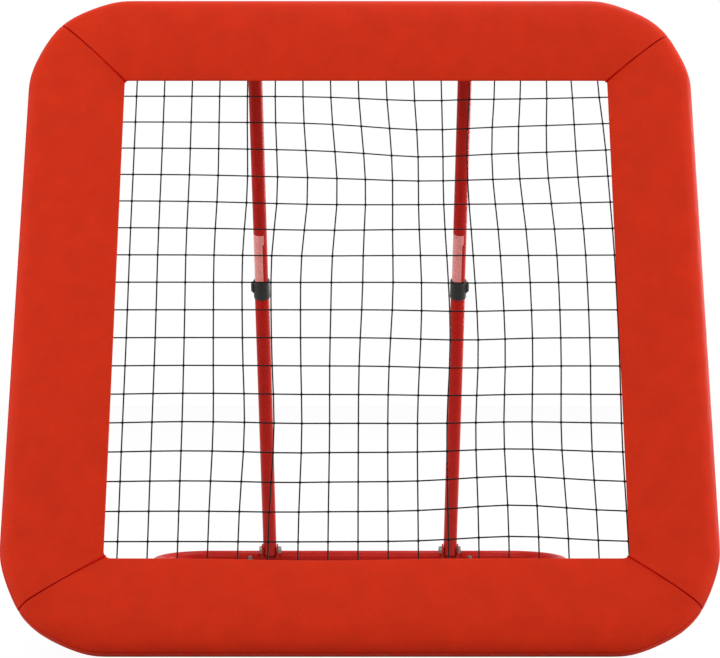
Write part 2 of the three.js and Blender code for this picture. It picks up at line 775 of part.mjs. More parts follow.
function buildGroundFrame() {
  const ground = addGroup(rebounder, baseDepth, rearHeight, -armRise);
  const screwSeat = baseTubeRadius * Math.cos(Math.PI / tubeSides) + seatGap;
  addPiece(ground, 'base_crossbar', crossbar(), paint);
  for (const [name, side] of sides) {
    addPiece(ground, `base_corner_${name}`, baseCorner(side), paint);
    addPiece(ground, `hinge_sleeve_${name}`, hingeSleeve(side), plastic);
    const rearScrew = addPiece(ground, `base_screw_${name}`, screw(), steel);
    rearScrew.position.set(side * (crossbarHalf + screwInset), -screwSeat, 0);
    rearScrew.rotation.x = Math.PI / 2;
    const frontScrew = addPiece(ground, `hinge_screw_${name}`, screw(), steel);
    frontScrew.position.copy(sleeveScrewPlace(side));
    frontScrew.position.z = baseTubeRadius + seatGap;
  }
}

function buildFootBrackets() {
  const pivot = new THREE.Vector2(-footPivotForward, footPivotRise);
  const shape = { tubeRadius: baseTubeRadius, strutRadius: lowerRadius, pivot, saddle: footSaddle };
  const saddle = addGroup(rebounder, baseDepth, rearHeight, 0);
  const grip = earsWidth(lowerRadius);
  for (const [name, side] of sides) {
    const ears = bracket({ ...shape, slot: new THREE.Vector2() });
    addPiece(saddle, `foot_bracket_${name}`, ears, paint).position.x = side * strutSpread;
    addBolt(saddle, 'foot', name, side, grip, pivot);
  }
}

/** A bolt with its head on the outer side, and its nut, through a pivot in the Y-Z plane. */
function addBolt(parent, place, name, side, grip, pivot) {
  const fastener = new THREE.Group();
  fastener.position.set(side * strutSpread, pivot.x, pivot.y);
  fastener.rotation.z = side > 0 ? 0 : Math.PI;
  parent.add(fastener);
  addPiece(fastener, `${place}_bolt_${name}`, bolt(grip), steel);
  addPiece(fastener, `${place}_nut_${name}`, nut(grip), steel);
}

function buildFace() {
  const hinge = addGroup(rebounder, 0, hingeHeight, faceLean * degrees);
  const face = addGroup(hinge, faceHalf, 0, 0);
  for (let k = 0; k < sideNames.length; k += 1) {
    const padding = sideNames[k] === 'bottom' ? coverBottom() : coverSide(k);
    addPiece(face, `frame_${sideNames[k]}`, frameStraight(k), paint);
    addPiece(face, `frame_corner_${cornerNames[k]}`, frameCorner(k), paint);
    addPiece(face, `cover_${sideNames[k]}`, padding, coverFabric);
    addPiece(face, `lacing_${sideNames[k]}`, lacingSide(k), elastic);
  }
  addPiece(face, 'net', netPanel(), netCord);
  const shape = {
    tubeRadius: faceTubeRadius,
    strutRadius: upperRadius,
    pivot: new THREE.Vector2(-topPivotDrop, -topPivotBack),
    slot: pivotDrift(midway),
    saddle: topSaddle,
  };
  for (const [name, side] of sides) {
    const ears = addPiece(face, `top_bracket_${name}`, bracket(shape), paint);
    ears.position.set(side * strutSpread, faceHalf, 0);
  }
}

function buildStruts() {
  const strut = addGroup(rebounder, footPivot.x, footPivot.y, strutRest.angle);
  const grip = earsWidth(upperRadius);
  const topPivot = new THREE.Vector2(strutRest.length, 0);
  for (const [name, side] of sides) {
    const x = side * strutSpread;
    addPiece(strut, `strut_lower_${name}`, lowerTube(side), paint).position.x = x;
    addPiece(strut, `strut_upper_${name}`, upperTube(side), paint).position.x = x;
    addPiece(strut, `collar_${name}`, collar(side), plastic).position.x = x;
    addPiece(strut, `lock_button_${name}`, lockButton(side), plastic).position.x = x;
    addBolt(strut, 'top', name, side, grip, topPivot);
  }
}

buildGroundFrame();
buildFootBrackets();
buildFace();
buildStruts();

// The part stands centred on the Z axis.
const extent = new THREE.Box3().setFromObject(rebounder, true);
const middle = extent.getCenter(new THREE.Vector3());
rebounder.position.set(-middle.x, -middle.y, 0);

export default rebounder;
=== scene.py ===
import math

import bmesh
import bpy
from mathutils import Matrix, Vector, geometry


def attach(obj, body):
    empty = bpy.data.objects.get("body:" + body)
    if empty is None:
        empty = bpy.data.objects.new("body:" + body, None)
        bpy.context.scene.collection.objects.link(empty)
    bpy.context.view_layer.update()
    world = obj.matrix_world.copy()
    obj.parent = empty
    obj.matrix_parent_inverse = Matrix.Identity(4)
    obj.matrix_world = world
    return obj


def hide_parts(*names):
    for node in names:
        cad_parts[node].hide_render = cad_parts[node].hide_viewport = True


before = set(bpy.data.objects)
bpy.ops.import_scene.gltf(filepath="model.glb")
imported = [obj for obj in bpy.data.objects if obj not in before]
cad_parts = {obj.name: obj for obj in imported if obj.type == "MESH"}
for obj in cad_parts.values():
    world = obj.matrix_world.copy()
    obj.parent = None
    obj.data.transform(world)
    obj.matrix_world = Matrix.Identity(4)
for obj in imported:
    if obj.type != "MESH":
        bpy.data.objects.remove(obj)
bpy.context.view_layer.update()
print("frame loaded")

scene = bpy.context.scene
mm = 0.001
quarter = 90
sides = {"left": -1, "right": 1}
padNames = ("top", "right", "bottom", "left")

camera = {
    "place": (0, -2.38043, 0.423),
    "pitch": -1.31,
    "lens": 89.15,
    "sensor": 36,
}


def addObject(name, data):
    made = bpy.data.objects.new(name, data)
    scene.collection.objects.link(made)
    return made


def pick(settings, *keys):
    return [settings[key] for key in keys]


def addCamera():
    lens = bpy.data.cameras.new("camera")
    lens.lens = camera["lens"]
    lens.sensor_width = camera["sensor"]
    lens.clip_end = 50
    made = addObject("camera", lens)
    made.location = camera["place"]
    made.rotation_euler = (math.radians(90 + camera["pitch"]), 0, 0)
    scene.camera = made


addCamera()
print("camera placed")

# Pieces are built in millimetres, in the face's plane, the ground frame's or along a strut.

face = {
    "hinge": (0, -336.83, 25),
    "lean": 70.6,
    "half": 395,  # middle to a tube's centreline
    "bend": 100,
    "radius": 12.5,
    "wall": 1,
    "spigot": 30,
    "swage": 0.896,
    "seam": 0.5,
    "segments": 40,
    "bendSteps": 18,
}
inset = face["half"] - face["bend"]  # middle to where a corner starts
ground = {
    "place": (352.17, 9.66),
    "rise": 1.2755,
    "radius": 10,
    "wall": 1,
    "crossbar": 154,
    "spigot": 38,
    "swage": 0.87,
    "bend": 74,
    "bendCentre": 228,
    "toeIn": 1.772,
    "armLength": 591.47,
    "hinge": (283, -689.17),
    "screwInset": 14,
    "seam": 0.5,
    "segments": 40,
    "bendSteps": 24,
}
strut = {
    "foot": (335.57, 23.66),
    "angle": 118.6637,
    "spread": 137.5,
    "length": 816.88,  # foot bolt to top bolt
    "lower": 466,
    "lowerRadius": 10.1,
    "upperRadius": 9.3,
    "insert": 100,
    "pastBolt": 4.5,
    "lowerWall": 0.6,
    "upperWall": 0.75,
    "segments": 48,
    "boltHole": 3.3,
    "pinHole": 2,
    "lockHole": 2.3,
    "lockHoles": 7,
    "travel": 290.47,
    "buttonPlace": 457.3,
    "drill": 20,  # reach of what cuts the holes
}


def shifted(x, y, z=0):
    return Matrix.Translation((x, y, z))


def turned(degrees, axis):
    return Matrix.Rotation(math.radians(degrees), 4, axis)


def placed(x=0, y=0, z=0, turn=0):
    return shifted(x * mm, y * mm, z * mm) @ turned(turn, "X") @ Matrix.Scale(mm, 4)


def strutPlace(side):
    return placed(side * strut["spread"], *strut["foot"], turn=strut["angle"])


facePlace = placed(*face["hinge"], turn=face["lean"]) @ shifted(0, face["half"])
groundPlace = placed(0, *ground["place"], turn=-ground["rise"])
crossbarPlace = placed(0, *ground["place"])


def sidePlace(k):  # the face turned so that its side k lies where its top is, clockwise
    return facePlace @ turned(-quarter * k, "Z")


def smoothstep(low, high, value):
    share = min(max((value - low) / (high - low), 0), 1)
    return share * share * (3 - 2 * share)


def lerp(first, last, share):
    return first + (last - first) * share


def shares(steps):
    return [i / steps for i in range(steps + 1)]


# Small mesh tools


def vertsIn(geom):
    return [part for part in geom if isinstance(part, bmesh.types.BMVert)]


def edgesAmong(verts):
    chosen = set(verts)
    found = (edge for vert in verts for edge in vert.link_edges if edge.other_vert(vert) in chosen)
    return list(dict.fromkeys(found))


def facing(axis):  # turns what faces along Z to face along X or Y
    return turned(quarter, "Y") if axis == "X" else turned(-quarter, "X")


def ring(bm, radius, segments, centre=(0, 0, 0), axis="X"):
    turn = Matrix.Translation(centre) @ facing(axis)
    made = bmesh.ops.create_circle(bm, segments=segments, radius=radius, matrix=turn)
    return edgesAmong(made["verts"])


def extend(bm, edges, move, size=1):  # pulls a ring on, and scales it there
    verts = vertsIn(bmesh.ops.extrude_edge_only(bm, edges=edges)["geom"])
    bmesh.ops.translate(bm, verts=verts, vec=move)
    middle = sum((vert.co for vert in verts), Vector()) / len(verts)
    bmesh.ops.scale(bm, verts=verts, vec=(size, size, size), space=Matrix.Translation(-middle))
    return edgesAmong(verts)


def swing(bm, edges, centre, degrees, steps):  # carries a ring round a bend
    verts = list(dict.fromkeys(vert for edge in edges for vert in edge.verts))
    made = bmesh.ops.spin(
        bm, geom=verts + edges, cent=centre, axis=(0, 0, 1), angle=math.radians(degrees),
        steps=steps,
    )
    return [part for part in made["geom_last"] if isinstance(part, bmesh.types.BMEdge)]


def lathe(profile, segments, axis="Y"):  # profile: radius and height pairs
    bm = bmesh.new()
    verts = [bm.verts.new((radius, height, 0)) for radius, height in profile]
    edges = [bm.edges.new(pair) for pair in zip(verts, verts[1:])]
    bmesh.ops.spin(
        bm, geom=verts + edges, axis=(0, 1, 0), angle=2 * math.pi, steps=segments, use_merge=True,
    )
    bmesh.ops.remove_doubles(bm, verts=bm.verts, dist=1e-4)
    if axis == "X":
        bm.transform(turned(-quarter, "Z"))
    if axis == "Z":
        bm.transform(turned(quarter, "X"))
    bmesh.ops.recalc_face_normals(bm, faces=bm.faces)
    return bm


def bar(radius, low, high, segments=32, axis="X", centre=(0, 0)):  # its middle in Y and Z
    bm = bmesh.new()
    bmesh.ops.create_cone(
        bm, cap_ends=True, segments=segments, radius1=radius, radius2=radius, depth=high - low,
    )
    for move in (shifted(0, 0, (low + high) / 2), facing(axis), shifted(0, *centre)):
        bm.transform(move)
    return bm


def box(low, high):
    bm = bmesh.new()
    bmesh.ops.create_cube(bm, size=1)
    low, high = Vector(low), Vector(high)
    bmesh.ops.scale(bm, verts=bm.verts, vec=high - low)
    bmesh.ops.translate(bm, verts=bm.verts, vec=(high + low) / 2)
    return bm


def hull(points, width):  # a convex block round flat points, as wide as given along X
    bm = bmesh.new()
    for side in (-1, 1):
        for y, z in points:
            bm.verts.new((side * width / 2, y, z))
    made = bmesh.ops.convex_hull(bm, input=bm.verts)
    bmesh.ops.delete(bm, geom=vertsIn(made["geom_interior"]), context="VERTS")
    bmesh.ops.dissolve_limit(bm, angle_limit=0.01, verts=bm.verts, edges=bm.edges)
    return bm


def arcPoints(radius, low, high, steps, centre=(0, 0)):
    angles = [math.radians(lerp(low, high, share)) for share in shares(steps)]
    return [(centre[0] + radius * math.cos(a), centre[1] + radius * math.sin(a)) for a in angles]


def circle(radius, steps, centre):
    return arcPoints(radius, 0, 360, steps, centre)


def asObject(name, bm):
    mesh = bpy.data.meshes.new(name)
    bm.to_mesh(mesh)
    bm.free()
    return addObject(name, mesh)


def drop(piece):
    mesh = piece.data
    bpy.data.objects.remove(piece)
    bpy.data.meshes.remove(mesh)


def combine(bm, tools, operation="DIFFERENCE"):  # cuts or joins with Blender's own Boolean
    host = asObject("host", bm)
    others = [asObject("tool", tool) for tool in tools]
    for other in others:
        modifier = host.modifiers.new("combine", "BOOLEAN")
        modifier.operation = operation
        modifier.solver = "EXACT"
        modifier.object = other
    made = bmesh.new()
    made.from_object(host, bpy.context.evaluated_depsgraph_get())
    for spare in [host, *others]:
        drop(spare)
    return made


def roundEdges(bm, edges, width, segments=2):
    bmesh.ops.bevel(
        bm, geom=edges, offset=width, offset_type="OFFSET", affect="EDGES",
        segments=segments, profile=0.5, material=-1, clamp_overlap=True,
    )
    return bm


def softenEdges(bm, width, angle, segments=2):
    limit = math.radians(angle)
    sharp = [edge for edge in bm.edges if edge.is_manifold and edge.calc_face_angle(0) > limit]
    return roundEdges(bm, sharp, width, segments)


def dress(piece, finish, body, node=None, sharp=35):
    piece.data.materials.clear()
    piece.data.materials.append(materials[finish])
    piece.data.shade_smooth()
    piece.data.set_sharp_from_angle(angle=math.radians(sharp))
    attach(piece, body)
    if node:
        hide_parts(node)


def finishPiece(name, bm, place, finish, body, node=None, sharp=35):
    bm.transform(place)
    for vert in bm.verts:
        vert.co.z = max(vert.co.z, 0)  # nothing sinks into the ground
    bmesh.ops.recalc_face_normals(bm, faces=bm.faces)
    dress(asObject(name, bm), finish, body, node, sharp)


# Materials


def colour(red, green, blue):  # from screen values to Blender's linear ones
    def linear(value):
        value /= 255
        return value / 12.92 if value <= 0.04045 else ((value + 0.055) / 1.055) ** 2.4

    return (linear(red), linear(green), linear(blue), 1)


def feed(tree, socket, value):  # links the socket to another one, or sets it
    if isinstance(value, bpy.types.NodeSocket):
        tree.links.new(value, socket)
    else:
        socket.default_value = value


def addNode(tree, kind, settings=None, **inputs):
    made = tree.nodes.new(kind)
    for key, value in (settings or {}).items():
        setattr(made, key, value)
    for key, value in inputs.items():
        feed(tree, made.inputs[key.replace("_", " ")], value)
    return made


def mathNode(tree, operation, first, second=0.0):
    made = addNode(tree, "ShaderNodeMath", {"operation": operation})
    feed(tree, made.inputs[0], first)
    feed(tree, made.inputs[1], second)
    return made.outputs[0]


def blendColour(tree, factor, first, second):
    made = addNode(tree, "ShaderNodeMix", {"data_type": "RGBA"})
    for index, value in ((0, factor), (6, first), (7, second)):  # the sockets for colours
        feed(tree, made.inputs[index], value)
    return made.outputs[2]


def newGroup(name, inputs, outputs, build):  # build: from its input sockets to its output ones
    group = bpy.data.node_groups.new(name, "ShaderNodeTree")
    kinds = {"Vector": "Vector", "Colour": "Color"}
    for direction, labels in (("INPUT", inputs), ("OUTPUT", outputs)):
        for label in labels:
            kind = f"NodeSocket{kinds.get(label, 'Float')}"
            group.interface.new_socket(label, in_out=direction, socket_type=kind)
    source = addNode(group, "NodeGroupInput").outputs
    result = addNode(group, "NodeGroupOutput").inputs
    for socket, value in zip(result, build(group, *[source[label] for label in inputs])):
        feed(group, socket, value)
    return group


def scaledVector(tree, vector, scale):
    settings = {"operation": "SCALE"}
    return addNode(tree, "ShaderNodeVectorMath", settings, Vector=vector, Scale=scale).outputs[0]


def noiseNode(tree, vector, scale, detail):
    return addNode(tree, "ShaderNodeTexNoise", Vector=vector, Scale=scale, Detail=detail).outputs[0]


def buildWeave(group, vector, threads):  # over and under threads of a plain weave
    scaled = scaledVector(group, vector, threads)
    parts = addNode(group, "ShaderNodeSeparateXYZ", Vector=scaled).outputs
    warp, weft = [mathNode(group, "PINGPONG", part, 0.5) for part in parts[:2]]
    over = addNode(group, "ShaderNodeTexChecker", Vector=scaled, Scale=1.0).outputs[1]
    mix = addNode(group, "ShaderNodeMix", {"data_type": "FLOAT"}, Factor=over, A=warp, B=weft)
    return [mathNode(group, "MULTIPLY", mix.outputs[0], 2.0)]


def buildMottle(group, vector, tint, scale, light, dark):  # slow and fast changes of a colour
    fine = mathNode(group, "MULTIPLY", scale, 7.0)
    slow = mathNode(group, "MULTIPLY", noiseNode(group, vector, scale, 3.0), 0.7)
    fast = mathNode(group, "MULTIPLY", noiseNode(group, vector, fine, 2.0), 0.3)
    both = mathNode(group, "ADD", slow, fast)
    middle = {"From_Min": 0.35, "From_Max": 0.65}  # noise seldom leaves this range
    mask = addNode(group, "ShaderNodeMapRange", Value=both, **middle)
    level = addNode(group, "ShaderNodeMapRange", Value=both, To_Min=dark, To_Max=light, **middle)
    return [scaledVector(group, tint, level.outputs[0]), mask.outputs[0]]


def buildGrain(group, vector, scale, depth):  # fine pits and ripples of paint, plastic and twine
    pits = noiseNode(group, vector, scale, 2.0)
    ripple = noiseNode(group, vector, mathNode(group, "MULTIPLY", scale, 0.12), 1.0)
    return [mathNode(group, "ADD", pits, mathNode(group, "MULTIPLY", ripple, depth)), ripple]


spotInputs = ["Vector", "Colour", "Scale", "Light", "Dark"]
weave = newGroup("weave", ["Vector", "Threads"], ["Height"], buildWeave)
mottle = newGroup("mottle", spotInputs, ["Colour", "Mask"], buildMottle)
grain = newGroup("grain", ["Vector", "Scale", "Ripple"], ["Height", "Mask"], buildGrain)

# Each finish has spots (scale, light, dark) and either a grain (scale, ripple) or threads to the
# metre. The spread is what its roughness loses and gains over the surface, and the bump is in
# metres.

finishes = {
    "cover": {
        # seam: a painted shade, a darker red for the pressed seams and the groove round the rim
        "name": "coverRed", "slot": "cover_red", "colour": (205, 46, 18), "seam": (196, 12, 4),
        "spots": (34.0, 1.06, 0.93), "threads": 1500.0, "folds": (46.0, 6.0), "bump": 0.00007,
        "roughness": 0.6, "spread": (0.05, 0.06), "shader": {"Specular IOR Level": 0.06},
    },
    "paint": {
        "name": "paintRed", "slot": "paint_red", "colour": (178, 29, 19),
        "spots": (60.0, 1.07, 0.92), "grain": (900.0, 1.5), "bump": 0.00002,
        "roughness": 0.38, "spread": (0.06, 0.1),
        "shader": {"Coat Weight": 0.06, "Coat Roughness": 0.12, "Specular IOR Level": 0.06},
    },
    "net": {
        "name": "netBlack", "slot": "net_black", "colour": (12, 12, 12),
        "spots": (80.0, 1.25, 0.75), "grain": (1800.0, 0.5), "bump": 0.00015,
        "roughness": 0.6, "spread": (0.08, 0.12), "shader": {"Specular IOR Level": 0.1},
    },
    "plastic": {
        "name": "plasticBlack", "slot": "plastic_black", "colour": (21, 23, 19),
        "spots": (80.0, 1.25, 0.75), "grain": (1500.0, 0.5), "bump": 0.00004,
        "roughness": 0.5, "spread": (0.08, 0.12), "shader": {"Specular IOR Level": 0.35},
    },
    "steel": {
        "name": "steelZinc", "slot": "steel", "colour": (112, 108, 103),
        "spots": (160.0, 1.08, 0.85), "grain": (1400.0, 0.5), "bump": 0.00002,
        "roughness": 0.3, "spread": (0.08, 0.12), "shader": {"Metallic": 1.0},
    },
    "elastic": {  # a braided cord
        "name": "elasticBlack", "slot": "elastic_black", "colour": (20, 20, 22),
        "spots": (120.0, 1.3, 0.7), "threads": 900.0, "bump": 0.0002,
        "roughness": 0.8, "shader": {"Sheen Weight": 0.2},
    },
    "film": {  # clear film over the paint; its pale pink colour is a painted sheen
        "name": "filmClear", "slot": "plastic_black", "colour": (228, 134, 128),
        "spots": (70.0, 1.12, 0.86), "grain": (500.0, 2.0), "bump": 0.00005,
        "roughness": 0.2, "shader": {"Coat Weight": 0.6, "Coat Roughness": 0.08},
    },
}


def makeMaterial(look):
    material = bpy.data.materials.new(look["name"])
    material.use_nodes = True
    tree = material.node_tree
    shader = tree.nodes["Principled BSDF"]
    for label, value in {"Roughness": look["roughness"], **look["shader"]}.items():
        shader.inputs[label].default_value = value
    place = addNode(tree, "ShaderNodeTexCoord")
    spot = place.outputs["Object"]

    def useGroup(group, **inputs):
        return addNode(tree, "ShaderNodeGroup", {"node_tree": group}, **inputs).outputs

    scale, light, dark = look["spots"]
    base, mask = useGroup(
        mottle, Vector=spot, Colour=colour(*look["colour"]), Scale=scale, Light=light, Dark=dark,
    )
    # painted shade: the colour turns darker where the seams and the groove are pressed in
    if "seam" in look:
        seam = addNode(tree, "ShaderNodeAttribute", {"attribute_name": "seam"})
        base = blendColour(tree, seam.outputs["Fac"], base, colour(*look["seam"]))
    feed(tree, shader.inputs["Base Color"], base)
    if "threads" in look:
        height = useGroup(weave, Vector=place.outputs["UV"], Threads=look["threads"])[0]
    else:
        scale, ripple = look["grain"]
        height, mask = useGroup(grain, Vector=spot, Scale=scale, Ripple=ripple)
    if "folds" in look:
        scale, depth = look["folds"]
        folds = mathNode(tree, "MULTIPLY", noiseNode(tree, spot, scale, 2.0), depth)
        height = mathNode(tree, "ADD", height, folds)
    if "spread" in look:
        less, more = look["spread"]
        rough = addNode(
            tree, "ShaderNodeMapRange", Value=mask,
            To_Min=look["roughness"] - less, To_Max=look["roughness"] + more,
        )
        feed(tree, shader.inputs["Roughness"], rough.outputs[0])
    bump = addNode(tree, "ShaderNodeBump", Height=height, Distance=look["bump"], Strength=1.0)
    feed(tree, shader.inputs["Normal"], bump.outputs[0])
    return material


materials = {finish: makeMaterial(look) for finish, look in finishes.items()}
print("materials made")

# Padded cover

pad = {
    "hem": -88,
    "hemFront": 14,
    "hemBack": 10.5,
    "reach": 25,
    "backReach": 18.4,
    "bore": 15.7,
    "pulls": ((-76, 19.5), (-20, 30.8)),
    "shoulder": 70,
    "taperFrom": -50,
    "backEdge": -104,
    "notch": (283, 15, 32, -68),  # for the ground arms: place, flat half, half width, edge there
    "frontSteps": 16,
    "roll": (63, 56, 49, 42, 36, 32, 29.8, 28, 26.2, 24, 20, 14, 6, -3, -12, -22, -32, -41),
    "taperSteps": 6,
    "turns": (55.6, 36, 53.1, 43.9),  # corner's start to its seam, clockwise from the top right
    "opening": (300.1, 312.1, 308.7, 297.0),  # middle of the face to each side's edge
    "dip": (-46, 105, 2.6),  # where the bottom edge sags, how widely and how far
    "openingRadii": (4, 7, 8, 4),
    "cornerReach": 12,
    "swell": (-2.3, 0.8, 1.0, 1.2),  # added to each side's reach
    "swellWhole": 22,  # outward from the tube
    "cornerCut": (1.2, 1.1, 1.1, 1.0),  # taken off it in the corners
    "cornerFlats": (2.2, 2.1, 2.1, 1.9),  # and more of it to each side of their seams
    "straightSteps": 60,
    "bendSteps": 9,
    "nearSeam": ((3, 3), (2, 5)),  # degrees and steps of the last two parts of a bend
    "seamGap": 0.2,
    "seamDepth": 1.2,
    "seamWidth": 2.0,
    "grooveAngle": 28,
    "grooveWidth": 1.6,  # degrees to each side
    "grooveDepth": 1.3,
    "seamShadeReach": 0.8,  # how far into a seam or the rim's groove their painted shade is whole
    "startSmaller": 0.5,
    "freeFrom": {"seam": 26, "hem": 14, "groove": 26},  # how far off them the cloth is free
    "freeShare": 0.97,
    "puffCap": 1.8,
    "puffPressure": 4,
    "puffFrames": 20,
}


def aroundTube(radius, angle):
    turn = math.radians(angle)
    return radius * math.cos(turn), radius * math.sin(turn), angle


def padSection():  # outer and inner skins from the hem to the back edge: outward, front, angle
    steps, taper, reach = pick(pad, "frontSteps", "taperSteps", "reach")
    start, end = pick(pad, "taperFrom", "backEdge")
    top = aroundTube(reach, pad["shoulder"])[:2]
    knots = [(pad["hem"], pad["hemFront"]), *pad["pulls"], top]
    curve = geometry.interpolate_bezier(*[Vector((*knot, 0)) for knot in knots], steps + 1)
    bend = 180 - pad["shoulder"]
    outer = [(point.x, point.y, 180 - bend * i / steps) for i, point in enumerate(curve)]
    outer += [aroundTube(reach, angle) for angle in (*pad["roll"], start)]
    for share in shares(taper)[1:]:
        near = lerp(reach, pad["backReach"], smoothstep(0, 1, share))
        outer.append(aroundTube(near, lerp(start, end, share)))
    inner = []
    for share in shares(steps):
        out, front = lerp(pad["hem"], 0, share), lerp(pad["hemBack"], pad["bore"], share)
        inner.append((out, front, 180 - quarter * share))
    for share in shares(len(outer) - len(inner))[1:]:
        inner.append(aroundTube(pad["bore"], lerp(quarter, end, share)))
    return outer, inner


def hemCorner(share, radius):  # along the opening's edge, from cornerReach away to its corner
    straight = pad["cornerReach"] - radius
    run = share * (straight + radius * math.pi / 4)
    if run <= straight:
        return Vector((run, pad["cornerReach"]))
    turn = (run - straight) / radius
    return Vector((straight + radius * math.sin(turn), straight + radius * math.cos(turn)))


def padLimits(k):  # degrees that the pad turns before its left seam and its right one
    return quarter - pad["turns"][(k + 3) % 4], pad["turns"][k]


def stationAt(x, y):  # the side of a bend that a point is on, and its turn there in degrees
    over = abs(x) - inset
    turn = math.degrees(math.atan2(over, y - inset)) if over > 1e-6 else 0
    return (1 if x > 0 else -1), turn


def outwardAt(side, turn):
    angle = math.radians(turn)
    return Vector((side * math.sin(angle), math.cos(angle)))


def hemShift(k, x, y):  # from the opening's plain edge to its own edge, at a point's station
    plain = -pad["hem"] - face["bend"]
    side, turn = stationAt(x, y)
    edges, reach = pad["opening"], pad["cornerReach"]
    left, right = reach - edges[(k + 3) % 4], edges[(k + 1) % 4] - reach
    target = Vector((lerp(left, right, (x + inset) / (2 * inset)), edges[k]))
    if padNames[k] == "bottom":
        middle, width, depth = pad["dip"]
        target.y += depth * math.exp(-(((-target.x - middle) / width) ** 2))
    natural = Vector((x, inset - plain))
    if turn:
        radius = pad["openingRadii"][k if side > 0 else (k + 3) % 4]
        bend = hemCorner(min(turn / padLimits(k)[side > 0], 1), radius)
        target = Vector(((right if side > 0 else left) + side * bend.x, edges[k] - reach + bend.y))
        natural = Vector((side * inset, inset)) - plain * outwardAt(side, turn)
    return target - natural


def swellAt(k, x, y):  # how far the pad's outside moves outward, and which way that is
    side, turn = stationAt(x, y)
    corner = k if side > 0 else (k + 3) % 4
    beside = (k + side) % 4
    angle = math.radians(turn)
    cut = pad["cornerCut"][corner] * math.sin(2 * angle) ** 2
    cut += pad["cornerFlats"][corner] * math.sin(4 * angle) ** 2
    amount = lerp(pad["swell"][k], pad["swell"][beside], turn / quarter) - cut
    return amount * outwardAt(side, turn)


def withParts(faces):  # faces with their edges and points
    edges = dict.fromkeys(edge for part in faces for edge in part.edges)
    verts = dict.fromkeys(vert for part in faces for vert in part.verts)
    return [*faces, *edges, *verts]


def buildPad(k):  # along X with its outside at +Y, as the top pad lies in the face
    bm = bmesh.new()
    theta, skin, across, girth = [
        bm.verts.layers.float.new(name) for name in ("theta", "skin", "across", "girth")
    ]
    chains = []
    for value, points in zip((1, 0), padSection()):
        verts = []
        length = 0
        for out, front, angle in points:
            vert = bm.verts.new((-inset, face["half"] + out, front))
            length += (vert.co - verts[-1].co).length if verts else 0
            vert[theta], vert[skin], vert[across], vert[girth] = angle, value, out, length
            verts.append(vert)
        chains += [bm.edges.new(pair) for pair in zip(verts, verts[1:])]
    section = bmesh.ops.bridge_loops(bm, edges=chains)["faces"]
    gap = math.degrees(pad["seamGap"] / 2 / face["bend"])

    def carry(geom, centre=(0, 0, 0), step=(0, 0, 0), degrees=0, steps=1):
        return bmesh.ops.spin(
            bm, geom=geom, cent=centre, axis=(0, 0, 1), dvec=step, angle=math.radians(degrees),
            steps=steps,
        )["geom_last"]

    def bend(geom, side, total):
        (near, nearSteps), (last, lastSteps) = pad["nearSeam"]
        for degrees, steps in (
            (total - (near + last), pad["bendSteps"]), (near, nearSteps), (last - gap, lastSteps),
        ):
            geom = carry(geom, (side * inset, inset, 0), degrees=-side * degrees, steps=steps)

    left, right = padLimits(k)
    bend(withParts(section), -1, left)
    steps = pad["straightSteps"]
    start = [part for part in bm.faces if all(abs(v.co.x + inset) < 1e-5 for v in part.verts)]
    bend(carry(withParts(start), step=(2 * inset / steps, 0, 0), steps=steps), 1, right)
    bmesh.ops.recalc_face_normals(bm, faces=bm.faces)
    return bm


def markPad(bm, k):  # each point's distance along the pad and to its nearer seam
    down = bm.verts.layers.float.new("down")
    toSeam = bm.verts.layers.float.new("toSeam")
    for vert in bm.verts:
        x, y, _ = vert.co
        side, turn = stationAt(x, y)
        left = padLimits(k)[side > 0] - turn
        radius = math.hypot(max(abs(x) - inset, 0), y - inset)
        vert[down] = side * (min(abs(x), inset) + math.radians(turn) * face["bend"])
        vert[toSeam] = math.radians(left) * radius + max(inset - abs(x), 0)


def notchAt(angle, down, spot, out):  # lifts the back edge where a ground arm leaves the tube
    place, flat, width, edge = pad["notch"]
    share = 1 - smoothstep(flat, width, abs(abs(down) - place))
    start, end = pad["taperFrom"], pad["backEdge"]
    lifted = lerp(angle, lerp(start, edge, (angle - start) / (end - start)), share)
    level, front, _ = aroundTube(math.hypot(out, spot.z), lifted)
    outward = outwardAt(*stationAt(spot.x, spot.y))
    return Vector((*(outward * (level - out)), front - spot.z))


def shapePad(bm, k):  # the opening's own edges and corners, and the pad's own reach
    layers = bm.verts.layers.float
    skin, across, theta, down = [layers[name] for name in ("skin", "across", "theta", "down")]
    shoulder = aroundTube(pad["reach"], pad["shoulder"])[0]
    for vert in bm.verts:
        x, y, _ = vert.co
        out = vert[across]
        edge = shoulder if vert[skin] > 0.5 else 0
        weight = max((edge - out) / (edge - pad["hem"]), 0)
        move = (hemShift(k, x, y) * weight).to_3d()
        if vert[skin] > 0.5:
            move += (swellAt(k, x, y) * smoothstep(0, pad["swellWhole"], out)).to_3d()
        if padNames[k] == "bottom" and vert[theta] < pad["taperFrom"]:
            move += notchAt(vert[theta], vert[down], vert.co, out)
        vert.co += move


def addUv(bm):  # metres along a pad, and round its section from the hem
    girth = bm.verts.layers.float["girth"]
    down = bm.verts.layers.float["down"]
    sheet = bm.loops.layers.uv.new("sheet")
    for part in bm.faces:
        for loop in part.loops:
            loop[sheet].uv = (loop.vert[down] * mm, loop.vert[girth] * mm)


def marksOf(mesh, *names):
    return [mesh.attributes[name].data for name in names]


